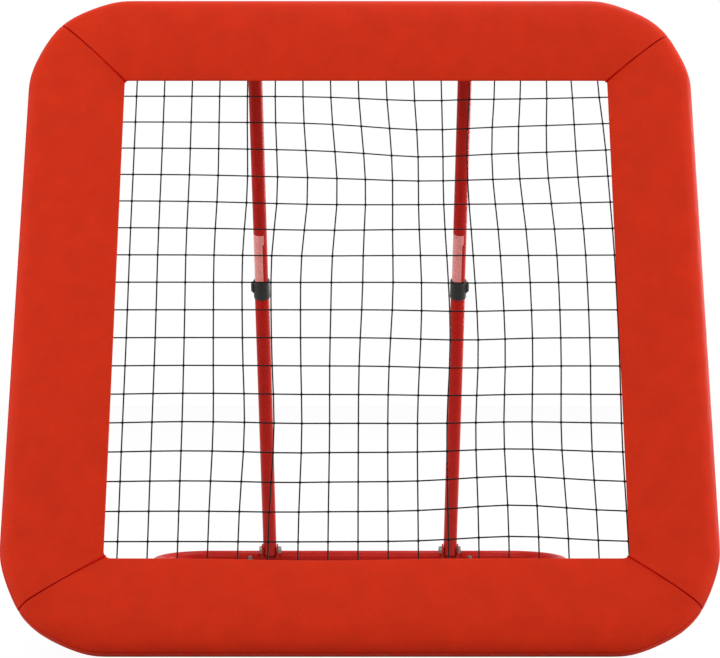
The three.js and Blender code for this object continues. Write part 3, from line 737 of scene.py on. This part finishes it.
def puff(piece):  # cloth pushed out by air, with the inner skin and the sewn lines held
    mesh = piece.data
    skin, across, theta, toSeam = marksOf(mesh, "skin", "across", "theta", "toSeam")
    reach, hem, groove = pad["freeFrom"], pad["hem"], pad["grooveAngle"]
    held = piece.vertex_groups.new(name="held")
    for i in range(len(mesh.vertices)):
        free = smoothstep(0, reach["seam"], toSeam[i].value)
        free *= smoothstep(hem, hem + reach["hem"], across[i].value)
        free *= smoothstep(groove, groove + reach["groove"], theta[i].value)
        free *= pad["freeShare"] if skin[i].value > 0.5 else 0
        held.add([i], 1 - free, "REPLACE")
    start = [vert.co.copy() for vert in mesh.vertices]
    for vert in mesh.vertices:
        if skin[vert.index].value > 0.5:
            vert.co -= vert.normal * pad["startSmaller"] * mm
    modifier = piece.modifiers.new("cloth", "CLOTH")
    cloth = modifier.settings
    cloth.vertex_group_mass = "held"
    cloth.use_pressure = True
    cloth.uniform_pressure_force = pad["puffPressure"]
    cloth.effector_weights.gravity = 0
    modifier.point_cache.frame_start = 1
    modifier.point_cache.frame_end = pad["puffFrames"]
    for number in range(1, pad["puffFrames"] + 1):
        scene.frame_set(number)
    blown = piece.evaluated_get(bpy.context.evaluated_depsgraph_get()).data
    moves = [end.co - first for end, first in zip(blown.vertices, start)]
    piece.modifiers.remove(modifier)
    for vert, first, move in zip(mesh.vertices, start, moves):
        if move.length > pad["puffCap"] * mm:
            move = move.normalized() * pad["puffCap"] * mm
        vert.co = first + move
    piece.vertex_groups.remove(held)
    scene.frame_set(1)


def sew(piece, place):  # presses the mitred seams and the sewn line round the rim into the skin
    mesh = piece.data
    home = place.inverted()
    level = place.to_3x3().normalized()
    theta, skin, toSeam = marksOf(mesh, "theta", "skin", "toSeam")
    # the seam attribute marks where a painted shade darkens the cover, in the seams and the groove
    seam = mesh.attributes.new("seam", "FLOAT", "POINT").data
    normals = [vert.normal.copy() for vert in mesh.vertices]
    for i, (vert, normal) in enumerate(zip(mesh.vertices, normals)):
        if skin[i].value < 0.5:
            continue
        spot = home @ vert.co
        out = outwardAt(*stationAt(spot.x, spot.y))
        path = level @ Vector((out.y, -out.x, 0))
        normal = (normal - path * normal.dot(path)).normalized()
        close = max(1 - toSeam[i].value / pad["seamWidth"], 0)
        line = max(1 - abs(theta[i].value - pad["grooveAngle"]) / pad["grooveWidth"], 0)
        depth = pad["seamDepth"] * close ** 2 + pad["grooveDepth"] * smoothstep(0, 1, line)
        vert.co -= normal * mm * depth
        seam[i].value = smoothstep(0, pad["seamShadeReach"], max(close, line))
        vert.co.z = max(vert.co.z, 0)  # flat where it rests on the ground


def makePad(k):
    bm = buildPad(k)
    markPad(bm, k)
    shapePad(bm, k)
    addUv(bm)
    place = sidePlace(k)
    bm.transform(place)
    piece = asObject(f"pad_{padNames[k]}", bm)
    puff(piece)
    modifier = piece.modifiers.new("smooth", "SUBSURF")
    modifier.levels = modifier.render_levels = 1
    ready = piece.evaluated_get(bpy.context.evaluated_depsgraph_get())
    smooth = bpy.data.meshes.new_from_object(ready)
    piece.modifiers.clear()
    rough = piece.data
    piece.data = smooth
    bpy.data.meshes.remove(rough)
    sew(piece, place)
    dress(piece, "cover", "face", f"cover_{padNames[k]}", sharp=50)


for k in range(4):
    makePad(k)
print("pads made")

# Net

net = {
    "start": (-2.3, -1.1),
    "pitch": (35.16, 35.78),
    "columns": 10,  # to each side of the middle
    "rows": 9,
    "edge": (351.7, 322.1),
    "strand": 0.9,
    "lift": 0.35,  # of one set of strands over the middle plane, and of the other under it
    "rope": 1.3,
    "knot": (2.1, 1.302, 1.575),  # half its length, width and height
    "knotTurn": 7,
    "bumps": (  # column, row, width, height, shift to the right and up
        (-1.5, 4.2, 3.5, 2.3, 16.0, -5.4),
        (2.1, 6.4, 2.6, 2.0, 5.6, -9.8),
        (5.9, 5.9, 3.4, 2.7, -10.5, -6.0),
        (1.1, 1.1, 2.3, 2.3, 7.5, 0.4),
        (-3.5, -4.2, 2.0, 2.2, 5.3, 1.4),
        (5.2, -6.9, 2.4, 2.4, 1.4, 7.7),
        (-2.5, 3.6, 3.6, 2.7, -9.5, 1.0),
        (6.7, -4.7, 2.5, 2.3, -4.2, 0.5),
        (3.4, -1.3, 2.0, 2.2, 5.0, -3.0),
        (9.0, 8.5, 1.6, 1.6, -8.8, -0.2),
        (-6.2, -4.3, 2.0, 2.3, -0.5, 1.9),
        (-2.7, -5.2, 1.5, 2.2, 0.2, -1.6),
        (4.1, 8.5, 0.9, 0.9, 3.8, 1.3),
        (8.4, 9.5, 1.8, 0.6, -7.0, 0),
        (0.2, 8.6, 2.2, 1.2, -1.0, 0),
    ),
}


def knotPlace(i, j):
    edgeX, edgeY = net["edge"]
    x = net["start"][0] + net["pitch"][0] * i
    y = net["start"][1] + net["pitch"][1] * j
    for middle, height, width, tall, right, lift in net["bumps"]:
        near = math.exp(-(((i - middle) / width) ** 2) - ((j - height) / tall) ** 2)
        x += right * near
        y += lift * near
    if abs(i) == net["columns"]:  # on the rope
        x = math.copysign(edgeX, i)
    if abs(j) == net["rows"]:
        y = math.copysign(edgeY, j)
    return Vector((x, y, 0))


def curveMesh(name, lines, radius, sides=2, cyclic=False):  # polylines of a round section
    curve = bpy.data.curves.new(name, "CURVE")
    curve.dimensions = "3D"
    curve.bevel_depth = radius
    curve.bevel_resolution = sides
    curve.use_fill_caps = not cyclic
    for points in lines:
        spline = curve.splines.new("POLY")
        spline.points.add(len(points) - 1)
        spline.use_cyclic_u = cyclic
        for spot, point in zip(spline.points, points):
            spot.co = (*point, 1)
    holder = addObject(name, curve)
    ready = holder.evaluated_get(bpy.context.evaluated_depsgraph_get())
    mesh = bpy.data.meshes.new_from_object(ready)
    bpy.data.objects.remove(holder)
    bpy.data.curves.remove(curve)
    return mesh


def addMesh(bm, mesh):
    bm.from_mesh(mesh)
    bpy.data.meshes.remove(mesh)


def netStrands():
    wide = range(-net["columns"], net["columns"] + 1)
    high = range(-net["rows"], net["rows"] + 1)
    lift = Vector((0, 0, net["lift"]))
    lines = [[knotPlace(i, j) + lift for i in wide] for j in high[1:-1]]
    return lines + [[knotPlace(i, j) - lift for j in high] for i in wide[1:-1]]


def addKnots(bm):  # two turns of twine that cross over each meeting of the strands
    shape = Matrix.Diagonal((*net["knot"], 1))
    for i in range(1 - net["columns"], net["columns"]):
        for j in range(1 - net["rows"], net["rows"]):
            skew = net["knotTurn"] * ((3 * i + 5 * j) % 5 - 2)
            for tilt in (45, -45):
                place = shifted(*knotPlace(i, j)) @ turned(tilt + skew, "Z") @ shape
                bmesh.ops.create_icosphere(bm, subdivisions=1, radius=1, matrix=place)


def makeNet():
    x, y = net["edge"]
    corners = [(-x, -y, 0), (x, -y, 0), (x, y, 0), (-x, y, 0)]
    bm = bmesh.new()
    addMesh(bm, curveMesh("strands", netStrands(), net["strand"], sides=1))
    addMesh(bm, curveMesh("rope", [corners], net["rope"], cyclic=True))
    addKnots(bm)
    finishPiece("net_mesh", bm, facePlace, "net", "face", "net", sharp=80)


makeNet()
print("net made")

# Elastic lacing

lacing = {
    "radius": 1.4,
    "hug": 14.0,
    "hugSteps": 16,
    "netLoop": 2.6,
    "loopTurn": (200, -20),
    "loopLift": 1.6,
    "loopSteps": 8,
    "stride": 3.4,  # half of a wrap's advance along the tube
    "sides": {  # tube to rope, pitch, last turn, and 1 where the odd turns go round the tube
        "top": (72.9, 35.17, 8, 1),
        "right": (43.3, 35.788, 8, 1),
        "bottom": (72.9, 35.17, 7, 0),
        "left": (43.3, 35.788, 8, 1),
    },
}


def lacingLine(gap, pitch, last, odd):  # round the tube under the pad, and round the net's rope
    points = []
    hug, loop, stride, lift = pick(lacing, "hug", "netLoop", "stride", "loopLift")
    meets = math.pi - math.acos(hug / (gap - loop))  # where the straight runs touch the tube
    for i in range(-last, last + 1):
        if i % 2 == odd:
            for share in shares(lacing["hugSteps"]):
                angle = lerp(-meets, meets, share)
                out, front = face["half"] + hug * math.cos(angle), hug * math.sin(angle)
                points.append((i * pitch + lerp(-stride, stride, share), out, front))
        else:
            for share in shares(lacing["loopSteps"]):
                angle = math.radians(lerp(*lacing["loopTurn"], share))
                out = face["half"] - gap - loop * math.sin(angle)
                points.append((i * pitch - loop * math.cos(angle), out, lerp(lift, -lift, share)))
    return points


def makeLacing():
    for k, name in enumerate(padNames):
        bm = bmesh.new()
        line = lacingLine(*lacing["sides"][name])
        addMesh(bm, curveMesh("cord", [line], lacing["radius"], sides=3))
        finishPiece(f"lacing_{name}_cord", bm, sidePlace(k), "elastic", "face", f"lacing_{name}")


makeLacing()
print("lacing made")

# Tubes

swageRun = 0.2  # a drawn-in end narrows over this length


def tube(radius, wall, segments, start, moves, axis="X", size=1, rim=0.3):
    bm = bmesh.new()
    skins = []
    for reach in (radius, radius - wall):
        first = last = ring(bm, reach * size, segments, (*start, 0), axis)
        for x, y, *more in moves:  # a way to go and a size, or a bend's middle, degrees and steps
            carry = swing if len(more) > 1 else extend
            last = carry(bm, last, (x, y, 0), *more)
        skins.append((first, last))
    for outside, inside in zip(*skins):
        bmesh.ops.bridge_loops(bm, edges=outside + inside)
    bmesh.ops.recalc_face_normals(bm, faces=bm.faces)
    return roundEdges(bm, [edge for ends in skins for end in ends for edge in end], rim)


def mirrored(bm, side):
    if side < 0:
        bm.transform(Matrix.Scale(-1, 4, (1, 0, 0)))
    return bm


def makeFaceTubes():
    corners = ("top_right", "bottom_right", "bottom_left", "top_left")
    half, spigot, swage = pick(face, "half", "spigot", "swage")
    look = pick(face, "radius", "wall", "segments")
    reach = inset - face["seam"]
    bend = (
        (spigot - swageRun, 0), (swageRun, 0, 1 / swage),
        (inset, inset, -quarter, face["bendSteps"]),
        (0, -swageRun, swage), (0, swageRun - spigot),
    )
    for k, name in enumerate(padNames):
        bm = tube(*look, (-reach, 0), [(2 * reach, 0)])
        bm.transform(shifted(0, half))
        finishPiece(f"tube_{name}", bm, sidePlace(k), "paint", "face", f"frame_{name}")
        bm = tube(*look, (inset - spigot, half), bend, size=swage)
        corner = corners[k]
        finishPiece(f"tube_{corner}", bm, sidePlace(k), "paint", "face", f"frame_corner_{corner}")


def makeGroundTubes():
    half, spigot, swage = pick(ground, "crossbar", "spigot", "swage")
    look = pick(ground, "radius", "wall", "segments")
    drawn = spigot - swageRun
    bm = tube(
        *look, (-half - spigot, 0),
        [(drawn, 0), (swageRun, 0, 1 / swage), (2 * half, 0), (swageRun, 0, swage), (drawn, 0)],
        size=swage,
    )
    finishPiece("crossbar", bm, groundPlace, "paint", "base", "base_crossbar")
    start, toeIn, length = half + ground["seam"], ground["toeIn"], ground["armLength"]
    heading = turned(-toeIn, "Z") @ Vector((0, -length, 0))
    arm = (
        (ground["bendCentre"] - start, 0),
        (ground["bendCentre"], -ground["bend"], -quarter - toeIn, ground["bendSteps"]),
        (heading.x, heading.y),
    )
    for name, side in sides.items():
        bm = mirrored(tube(*look, (start, 0), arm), side)
        finishPiece(f"arm_{name}", bm, groundPlace, "paint", "base", f"base_corner_{name}")


def makeStruts():
    past, lower, length = pick(strut, "pastBolt", "lower", "length")
    drill, place, locks = pick(strut, "drill", "buttonPlace", "lockHoles")
    pitch = strut["travel"] / (locks - 1)
    for name, side in sides.items():
        for half, low, high, boltAt, hole, holes in (
            ("lower", -past, lower, 0, strut["pinHole"], 1),
            ("upper", lower - strut["insert"], length + past, length, strut["lockHole"], locks),
        ):
            radius, wall = strut[f"{half}Radius"], strut[f"{half}Wall"]
            tools = [bar(strut["boltHole"], -drill, drill, centre=(boltAt, 0))]
            for i in range(holes):
                tools.append(bar(hole, 0, drill, centre=(place + pitch * i, 0)))
            bm = tube(radius, wall, strut["segments"], (0, low), [(0, high - low)], "Y")
            bm = mirrored(combine(bm, tools), side)
            finishPiece(
                f"{half}_tube_{name}", bm, strutPlace(side), "paint",
                f"{half}_strut_{name}", f"strut_{half}_{name}",
            )


makeFaceTubes()
makeGroundTubes()
makeStruts()
print("tubes made")

# Collars and lock buttons

collar = {
    "low": 441.0,
    "high": 468.5,
    "radius": 11.4,
    "lip": 9.55,
    "bore": 10.35,
    "topRound": 1.6,
    "lowRound": 0.9,
    "segments": 56,
    "bezel": {"height": 18.8, "width": 12.8, "start": 6, "proud": 1.3, "round": 0.6, "taper": 0.95},
    "button": {"height": 15.0, "width": 9.0, "proud": 3.4, "round": 1.2, "taper": 0.97},
    "buttonGap": 0.25,  # round the button
    "buttonFloor": 1.6,  # from the lower tube to the button's underside
    "pocketFloor": 9.4,
    "pin": 1.7,
    "pinLap": 2,  # into the cap, from the lower tube
    "play": 0.3,
    "endSteps": 10,
}


def stadium(look, low, high, grow=0):  # stands out along +X, and has plain edges if grown
    bm = bmesh.new()
    half = (look["width"] + grow) / 2
    lift = (look["height"] - look["width"]) / 2
    arc = arcPoints(1, 0, 180, collar["endSteps"])
    points = [(x * half, z * half + lift) for x, z in arc]
    points += [(-x, -y) for x, y in points]
    bm.faces.new([bm.verts.new((low, y, z)) for z, y in points])
    top = vertsIn(bmesh.ops.extrude_face_region(bm, geom=list(bm.faces))["geom"])
    bmesh.ops.translate(bm, verts=top, vec=(high - low, 0, 0))
    if not grow:
        bmesh.ops.scale(bm, verts=top, vec=(1, look["taper"], look["taper"]))
    bmesh.ops.recalc_face_normals(bm, faces=bm.faces)
    if not grow:
        roundEdges(bm, edgesAmong(top), look["round"], 4)
    bm.transform(shifted(0, strut["buttonPlace"]))
    return bm


def roundedRim(radius, height, width, first, last, steps=4):
    return [(radius + x, height + y) for x, y in arcPoints(width, first, last, steps)]


def makeCollars():
    low, high, radius, top, foot = pick(collar, "low", "high", "radius", "topRound", "lowRound")
    bezel, button, play, segments = pick(collar, "bezel", "button", "play", "segments")
    floor = strut["lowerRadius"] + collar["buttonFloor"]
    profile = [
        (0, low), *roundedRim(radius - foot, low + foot, foot, -90, 0),
        *roundedRim(radius - top, high - top, top, 0, 90), (0, high),
    ]
    for name, side in sides.items():
        raised = stadium(bezel, bezel["start"], radius + bezel["proud"])
        pocket = stadium(button, collar["pocketFloor"], strut["drill"], 2 * collar["buttonGap"])
        body = combine(lathe(profile, segments), [raised], "UNION")
        body = combine(body, [
            pocket,
            bar(collar["bore"], low - 1, strut["lower"] + play, segments, "Y"),
            bar(collar["lip"], low, high + 1, segments, "Y"),
        ])
        finishPiece(
            f"collar_{name}_moulded", mirrored(body, side), strutPlace(side), "plastic",
            f"lower_strut_{name}", f"collar_{name}", sharp=40,
        )
        cap = stadium(button, floor, radius + button["proud"])
        pin = bar(
            collar["pin"], strut["upperRadius"] + play, strut["lowerRadius"] + collar["pinLap"],
            centre=(strut["buttonPlace"], 0),
        )
        finishPiece(
            f"button_{name}_cap", mirrored(combine(cap, [pin], "UNION"), side), strutPlace(side),
            "plastic", f"button_{name}", f"lock_button_{name}", sharp=40,
        )


makeCollars()
print("collars made")

# Brackets, bolts, nuts and screws

bracket = {
    "plate": 1.8,
    "ear": 9,
    "clearance": 0.3,
    "softened": 0.35,
    "block": 80,  # reach of the block and of the bars that cut a bracket
    "drill": 60,
    "foot": {
        "pivot": (-16.6, 14), "slot": (0, 0), "saddle": (92, 184), "tube": 10, "strut": 10.2,
    },
    "top": {
        "pivot": (-22, -27), "slot": (1.9, -6.5), "saddle": (196, 248), "tube": 12.5, "strut": 9.3,
    },
}
bolt = {
    "radius": 3,
    "seat": 0.3,  # from the ears to the head and the nut
    "washer": (6.2, 0.5),  # radius, and how far it reaches past its seat
    "head": (0.3, 3.6),  # from its seat
    "nut": 4.6,
    "thread": 3.08,
    "pastNut": 0.4,
    "softened": 0.35,
    "corner": 5.77,  # middle of the hexagon to a corner
    "turned": (5.0, 0.62),  # flat that is left at its end, and how far back its corners turn
}
screw = {
    "shank": ((0, -6), (2, -6), (2, -0.6), (3.6, -0.6), (3.6, 0.5)),
    "dome": (2.2, 0.5, 1.4, 0, 80, 6),
    "top": 1.95,
    "cross": (1.7, 0.42, 1.0, 3),  # half length, half width, floor and top of the recess
}


def bracketMesh(look):
    saddle = look["tube"] + bracket["clearance"] + bracket["plate"]
    inner = 2 * (look["strut"] + bracket["clearance"])
    outer = inner + 2 * bracket["plate"]
    pivot, far, drill = look["pivot"], bracket["block"], bracket["drill"]
    end = (pivot[0] + look["slot"][0], pivot[1] + look["slot"][1])
    outline = [*circle(bracket["ear"], 32, pivot), *circle(bracket["ear"], 32, end)]
    block = hull(outline + arcPoints(saddle, *look["saddle"], 20), outer)
    between = box((-inner / 2, -far, -far), (inner / 2, far, far))
    between = combine(between, [bar(saddle, -drill, drill, 64)])
    hole = strut["boltHole"]
    slot = hull(circle(hole, 24, pivot) + circle(hole, 24, end), drill)
    bm = combine(block, [bar(look["tube"] + 0.05, -drill, drill, 64), between, slot])
    bmesh.ops.remove_doubles(bm, verts=bm.verts, dist=0.01)
    return softenEdges(bm, bracket["softened"], 50)


def hexBlock(low, high, turnedAt):  # a hexagon along X whose corners are turned at one end
    radius = bolt["corner"]
    flat, back = bolt["turned"]
    bm = bmesh.new()
    bmesh.ops.create_cone(
        bm, cap_ends=True, segments=6, radius1=radius, radius2=radius, depth=high - low,
    )
    bm.transform(facing("X") @ shifted(0, 0, (low + high) / 2))
    wide = radius + 0.1
    foot = [(flat, low), (wide, low + back)] if turnedAt == "low" else [(wide, low)]
    top = [(wide, high - back), (flat, high)] if turnedAt == "high" else [(wide, high)]
    return combine(bm, [lathe([(0, low), *foot, *top, (0, high)], 48, "X")], "INTERSECT")


def boltMesh(grip):
    seat = grip / 2 + bolt["seat"]
    radius, thick = bolt["washer"]
    washer = bar(radius, grip / 2 + 0.02, seat + thick, 40)
    low, high = bolt["head"]
    head = hexBlock(seat + low, seat + high, "high")
    shank = bar(bolt["radius"], -seat - bolt["nut"] - bolt["pastNut"], seat + 1, 32)
    softenEdges(shank, bolt["softened"], 60)
    return combine(head, [washer, shank], "UNION")


def nutMesh(grip):
    seat = grip / 2 + bolt["seat"]
    bm = hexBlock(-seat - bolt["nut"], -seat, "low")
    return combine(bm, [bar(bolt["thread"], -seat - 10, 0, 32)])


def screwMesh():  # pan head with a cross recess, its seat at the origin and its head up +Z
    bm = lathe([*screw["shank"], *roundedRim(*screw["dome"]), (0, screw["top"])], 32, "Z")
    reach, wide, low, high = screw["cross"]
    arms = [box((-x, -y, low), (x, y, high)) for x, y in ((reach, wide), (wide, reach))]
    return combine(bm, arms)


def makeEarsAndBolt(kind, name, earsPlace, earsBody, boltPlace, boltBody):
    look = bracket[kind]
    bm = bracketMesh(look)
    finishPiece(f"{kind}_ears_{name}", bm, earsPlace, "paint", earsBody, f"{kind}_bracket_{name}")
    grip = 2 * (look["strut"] + bracket["clearance"] + bracket["plate"])
    for label, node, mesh in (("hex", "bolt", boltMesh), ("hexnut", "nut", nutMesh)):
        finishPiece(
            f"{kind}_{label}_{name}", mesh(grip), boltPlace, "steel", boltBody,
            f"{kind}_{node}_{name}",
        )


def makeFasteners():
    for name, side in sides.items():
        outward = turned(0 if side > 0 else 180, "Z")
        shift = shifted(side * strut["spread"], 0)
        foot = crossbarPlace @ shift
        pivot = foot @ shifted(0, *bracket["foot"]["pivot"]) @ outward
        makeEarsAndBolt("foot", name, foot, "base", pivot, "base")
        top = facePlace @ shift @ shifted(0, face["half"])
        pivot = strutPlace(side) @ shifted(0, strut["length"]) @ outward
        makeEarsAndBolt("top", name, top, "face", pivot, f"upper_strut_{name}")
        screwAt = side * (ground["crossbar"] + ground["screwInset"])
        rear = groundPlace @ shifted(screwAt, -ground["radius"]) @ turned(quarter, "X")
        finishPiece(
            f"crossbar_screw_{name}", screwMesh(), rear, "steel", "base", f"base_screw_{name}",
        )


makeFasteners()
print("fasteners made")

# Hinge sleeves

sleeve = {
    "bore": 12.85,
    "radius": 15.4,
    "width": 22,
    "start": 4,  # from the hinge's middle, inside the sleeve
    "neck": 6,
    "neckRadius": 10,
    "stem": 34,
    "stemRadius": 8.7,
    "softened": 0.8,
    "neckSoftened": 0.5,
    "drill": 40,
    "screw": 38.4,
}


def makeSleeves():
    half, start = sleeve["width"] / 2, sleeve["start"]
    neckEnd = sleeve["radius"] + sleeve["neck"]
    for name, side in sides.items():
        body = softenEdges(bar(sleeve["radius"], -half, half, 64), sleeve["softened"], 60, 3)
        neck = bar(sleeve["neckRadius"], start, neckEnd, 40, "Y")
        softenEdges(neck, sleeve["neckSoftened"], 60)
        stem = bar(sleeve["stemRadius"], start, neckEnd + sleeve["stem"], 40, "Y")
        turn = turned(-side * ground["toeIn"], "Z")
        neck.transform(turn)
        stem.transform(turn)
        bm = combine(body, [neck, stem], "UNION")
        bm = combine(bm, [bar(sleeve["bore"], -sleeve["drill"], sleeve["drill"], 64)])
        place = groundPlace @ shifted(side * ground["hinge"][0], ground["hinge"][1])
        finishPiece(
            f"sleeve_{name}", bm, place, "plastic", "base", f"hinge_sleeve_{name}", sharp=40,
        )
        spot = turn @ Vector((0, sleeve["screw"], ground["radius"] - 0.1))
        finishPiece(
            f"sleeve_screw_{name}", screwMesh(), place @ shifted(*spot), "steel",
            "base", f"hinge_screw_{name}",
        )


makeSleeves()
print("sleeves made")

# Film labels on the upper tubes, above the collars

film = {
    "thickness": 0.12,
    "low": 468.7,
    "high": 541.5,
    "step": 526.9,
    "from": -80,  # degrees from the front, to the left
    "to": 20,
    "toAbove": 33,
    "stepDegrees": 4,
    "rows": 4,
}


def makeFilm():
    radius = strut["upperRadius"] + film["thickness"]
    for name, side in sides.items():
        bm = bmesh.new()
        for low, high, last in (
            (film["low"], film["step"], film["to"]),
            (film["step"], film["high"], film["toAbove"]),
        ):
            steps = round((last - film["from"]) / film["stepDegrees"])
            arc = arcPoints(radius, quarter - film["from"], quarter - last, steps)
            row = [bm.verts.new((x, low, z)) for x, z in arc]
            edges = [bm.edges.new(pair) for pair in zip(row, row[1:])]
            for _ in range(film["rows"]):
                edges = extend(bm, edges, (0, (high - low) / film["rows"], 0))
        bmesh.ops.remove_doubles(bm, verts=bm.verts, dist=0.01)
        bmesh.ops.recalc_face_normals(bm, faces=bm.faces)
        bmesh.ops.solidify(bm, geom=list(bm.faces), thickness=film["thickness"])
        finishPiece(f"film_{name}", bm, strutPlace(side), "film", f"upper_strut_{name}", sharp=60)


makeFilm()
print("film made")

# Floor, background and light

stage = {
    "floor": 8,
    "world": 0.36,
    "floorColour": (0.6, 0.6, 0.6, 1),
    "floorRoughness": 0.9,
    "floorGlow": 1.06,
    "floorShare": 0.88,  # of the floor's look that is its own glow
    "lights": {  # place, aim, size, power
        "front": ((-0.6, -2.15, 2.35), (0, -0.1, 0.5), 2.0, 41),
        "left": ((-2.6, -0.25, 0.8), (-0.3, 0, 0.4), 1.5, 21),
        "right": ((2.6, -0.25, 0.8), (0.3, 0, 0.4), 1.5, 30),
        "above": ((0.8, 0.6, 2.9), (0, 0.1, 0.4), 1.5, 40),
        "behind": ((1.9, 1.6, 0.7), (0, 0.2, 0.4), 0.9, 40),
    },
}


def plainWhite(tree, shade, glow, share, output):  # to the camera, and in metal and glass
    rays = addNode(tree, "ShaderNodeLightPath").outputs
    reflected = mathNode(tree, "MAXIMUM", rays["Is Glossy Ray"], rays["Is Transmission Ray"])
    seen = mathNode(tree, "MAXIMUM", rays["Is Camera Ray"], reflected)
    mix = addNode(tree, "ShaderNodeMixShader", Fac=mathNode(tree, "MULTIPLY", seen, share))
    feed(tree, mix.inputs[1], shade.outputs[0])
    feed(tree, mix.inputs[2], glow.outputs[0])
    feed(tree, tree.nodes[output].inputs[0], mix.outputs[0])


def addWorld():
    world = bpy.data.worlds.new("world")
    scene.world = world
    world.use_nodes = True
    tree = world.node_tree
    soft = tree.nodes["Background"]
    soft.inputs["Color"].default_value = (1, 1, 1, 1)
    soft.inputs["Strength"].default_value = stage["world"]
    glow = addNode(tree, "ShaderNodeBackground", Color=(1, 1, 1, 1), Strength=1.0)
    plainWhite(tree, soft, glow, 1.0, "World Output")


def addFloor():
    bm = bmesh.new()
    bmesh.ops.create_grid(bm, x_segments=1, y_segments=1, size=stage["floor"] / 2)
    floor = asObject("floor", bm)
    material = bpy.data.materials.new("floorWhite")
    material.use_nodes = True
    tree = material.node_tree
    matt = tree.nodes["Principled BSDF"]
    matt.inputs["Base Color"].default_value = stage["floorColour"]
    matt.inputs["Roughness"].default_value = stage["floorRoughness"]
    glow = addNode(
        tree, "ShaderNodeEmission", Color=(1, 1, 1, 1), Strength=stage["floorGlow"],
    )
    plainWhite(tree, matt, glow, stage["floorShare"], "Material Output")
    floor.data.materials.append(material)


def addLight(name, place, aim, size, power):
    lamp = bpy.data.lights.new(name, "AREA")
    lamp.size = size
    lamp.energy = power
    made = addObject(name, lamp)
    made.location = place
    made.rotation_euler = (Vector(aim) - Vector(place)).to_track_quat("-Z", "Y").to_euler()


addWorld()
addFloor()
for name, settings in stage["lights"].items():
    addLight(name, *settings)
scene.view_settings.view_transform = "Standard"
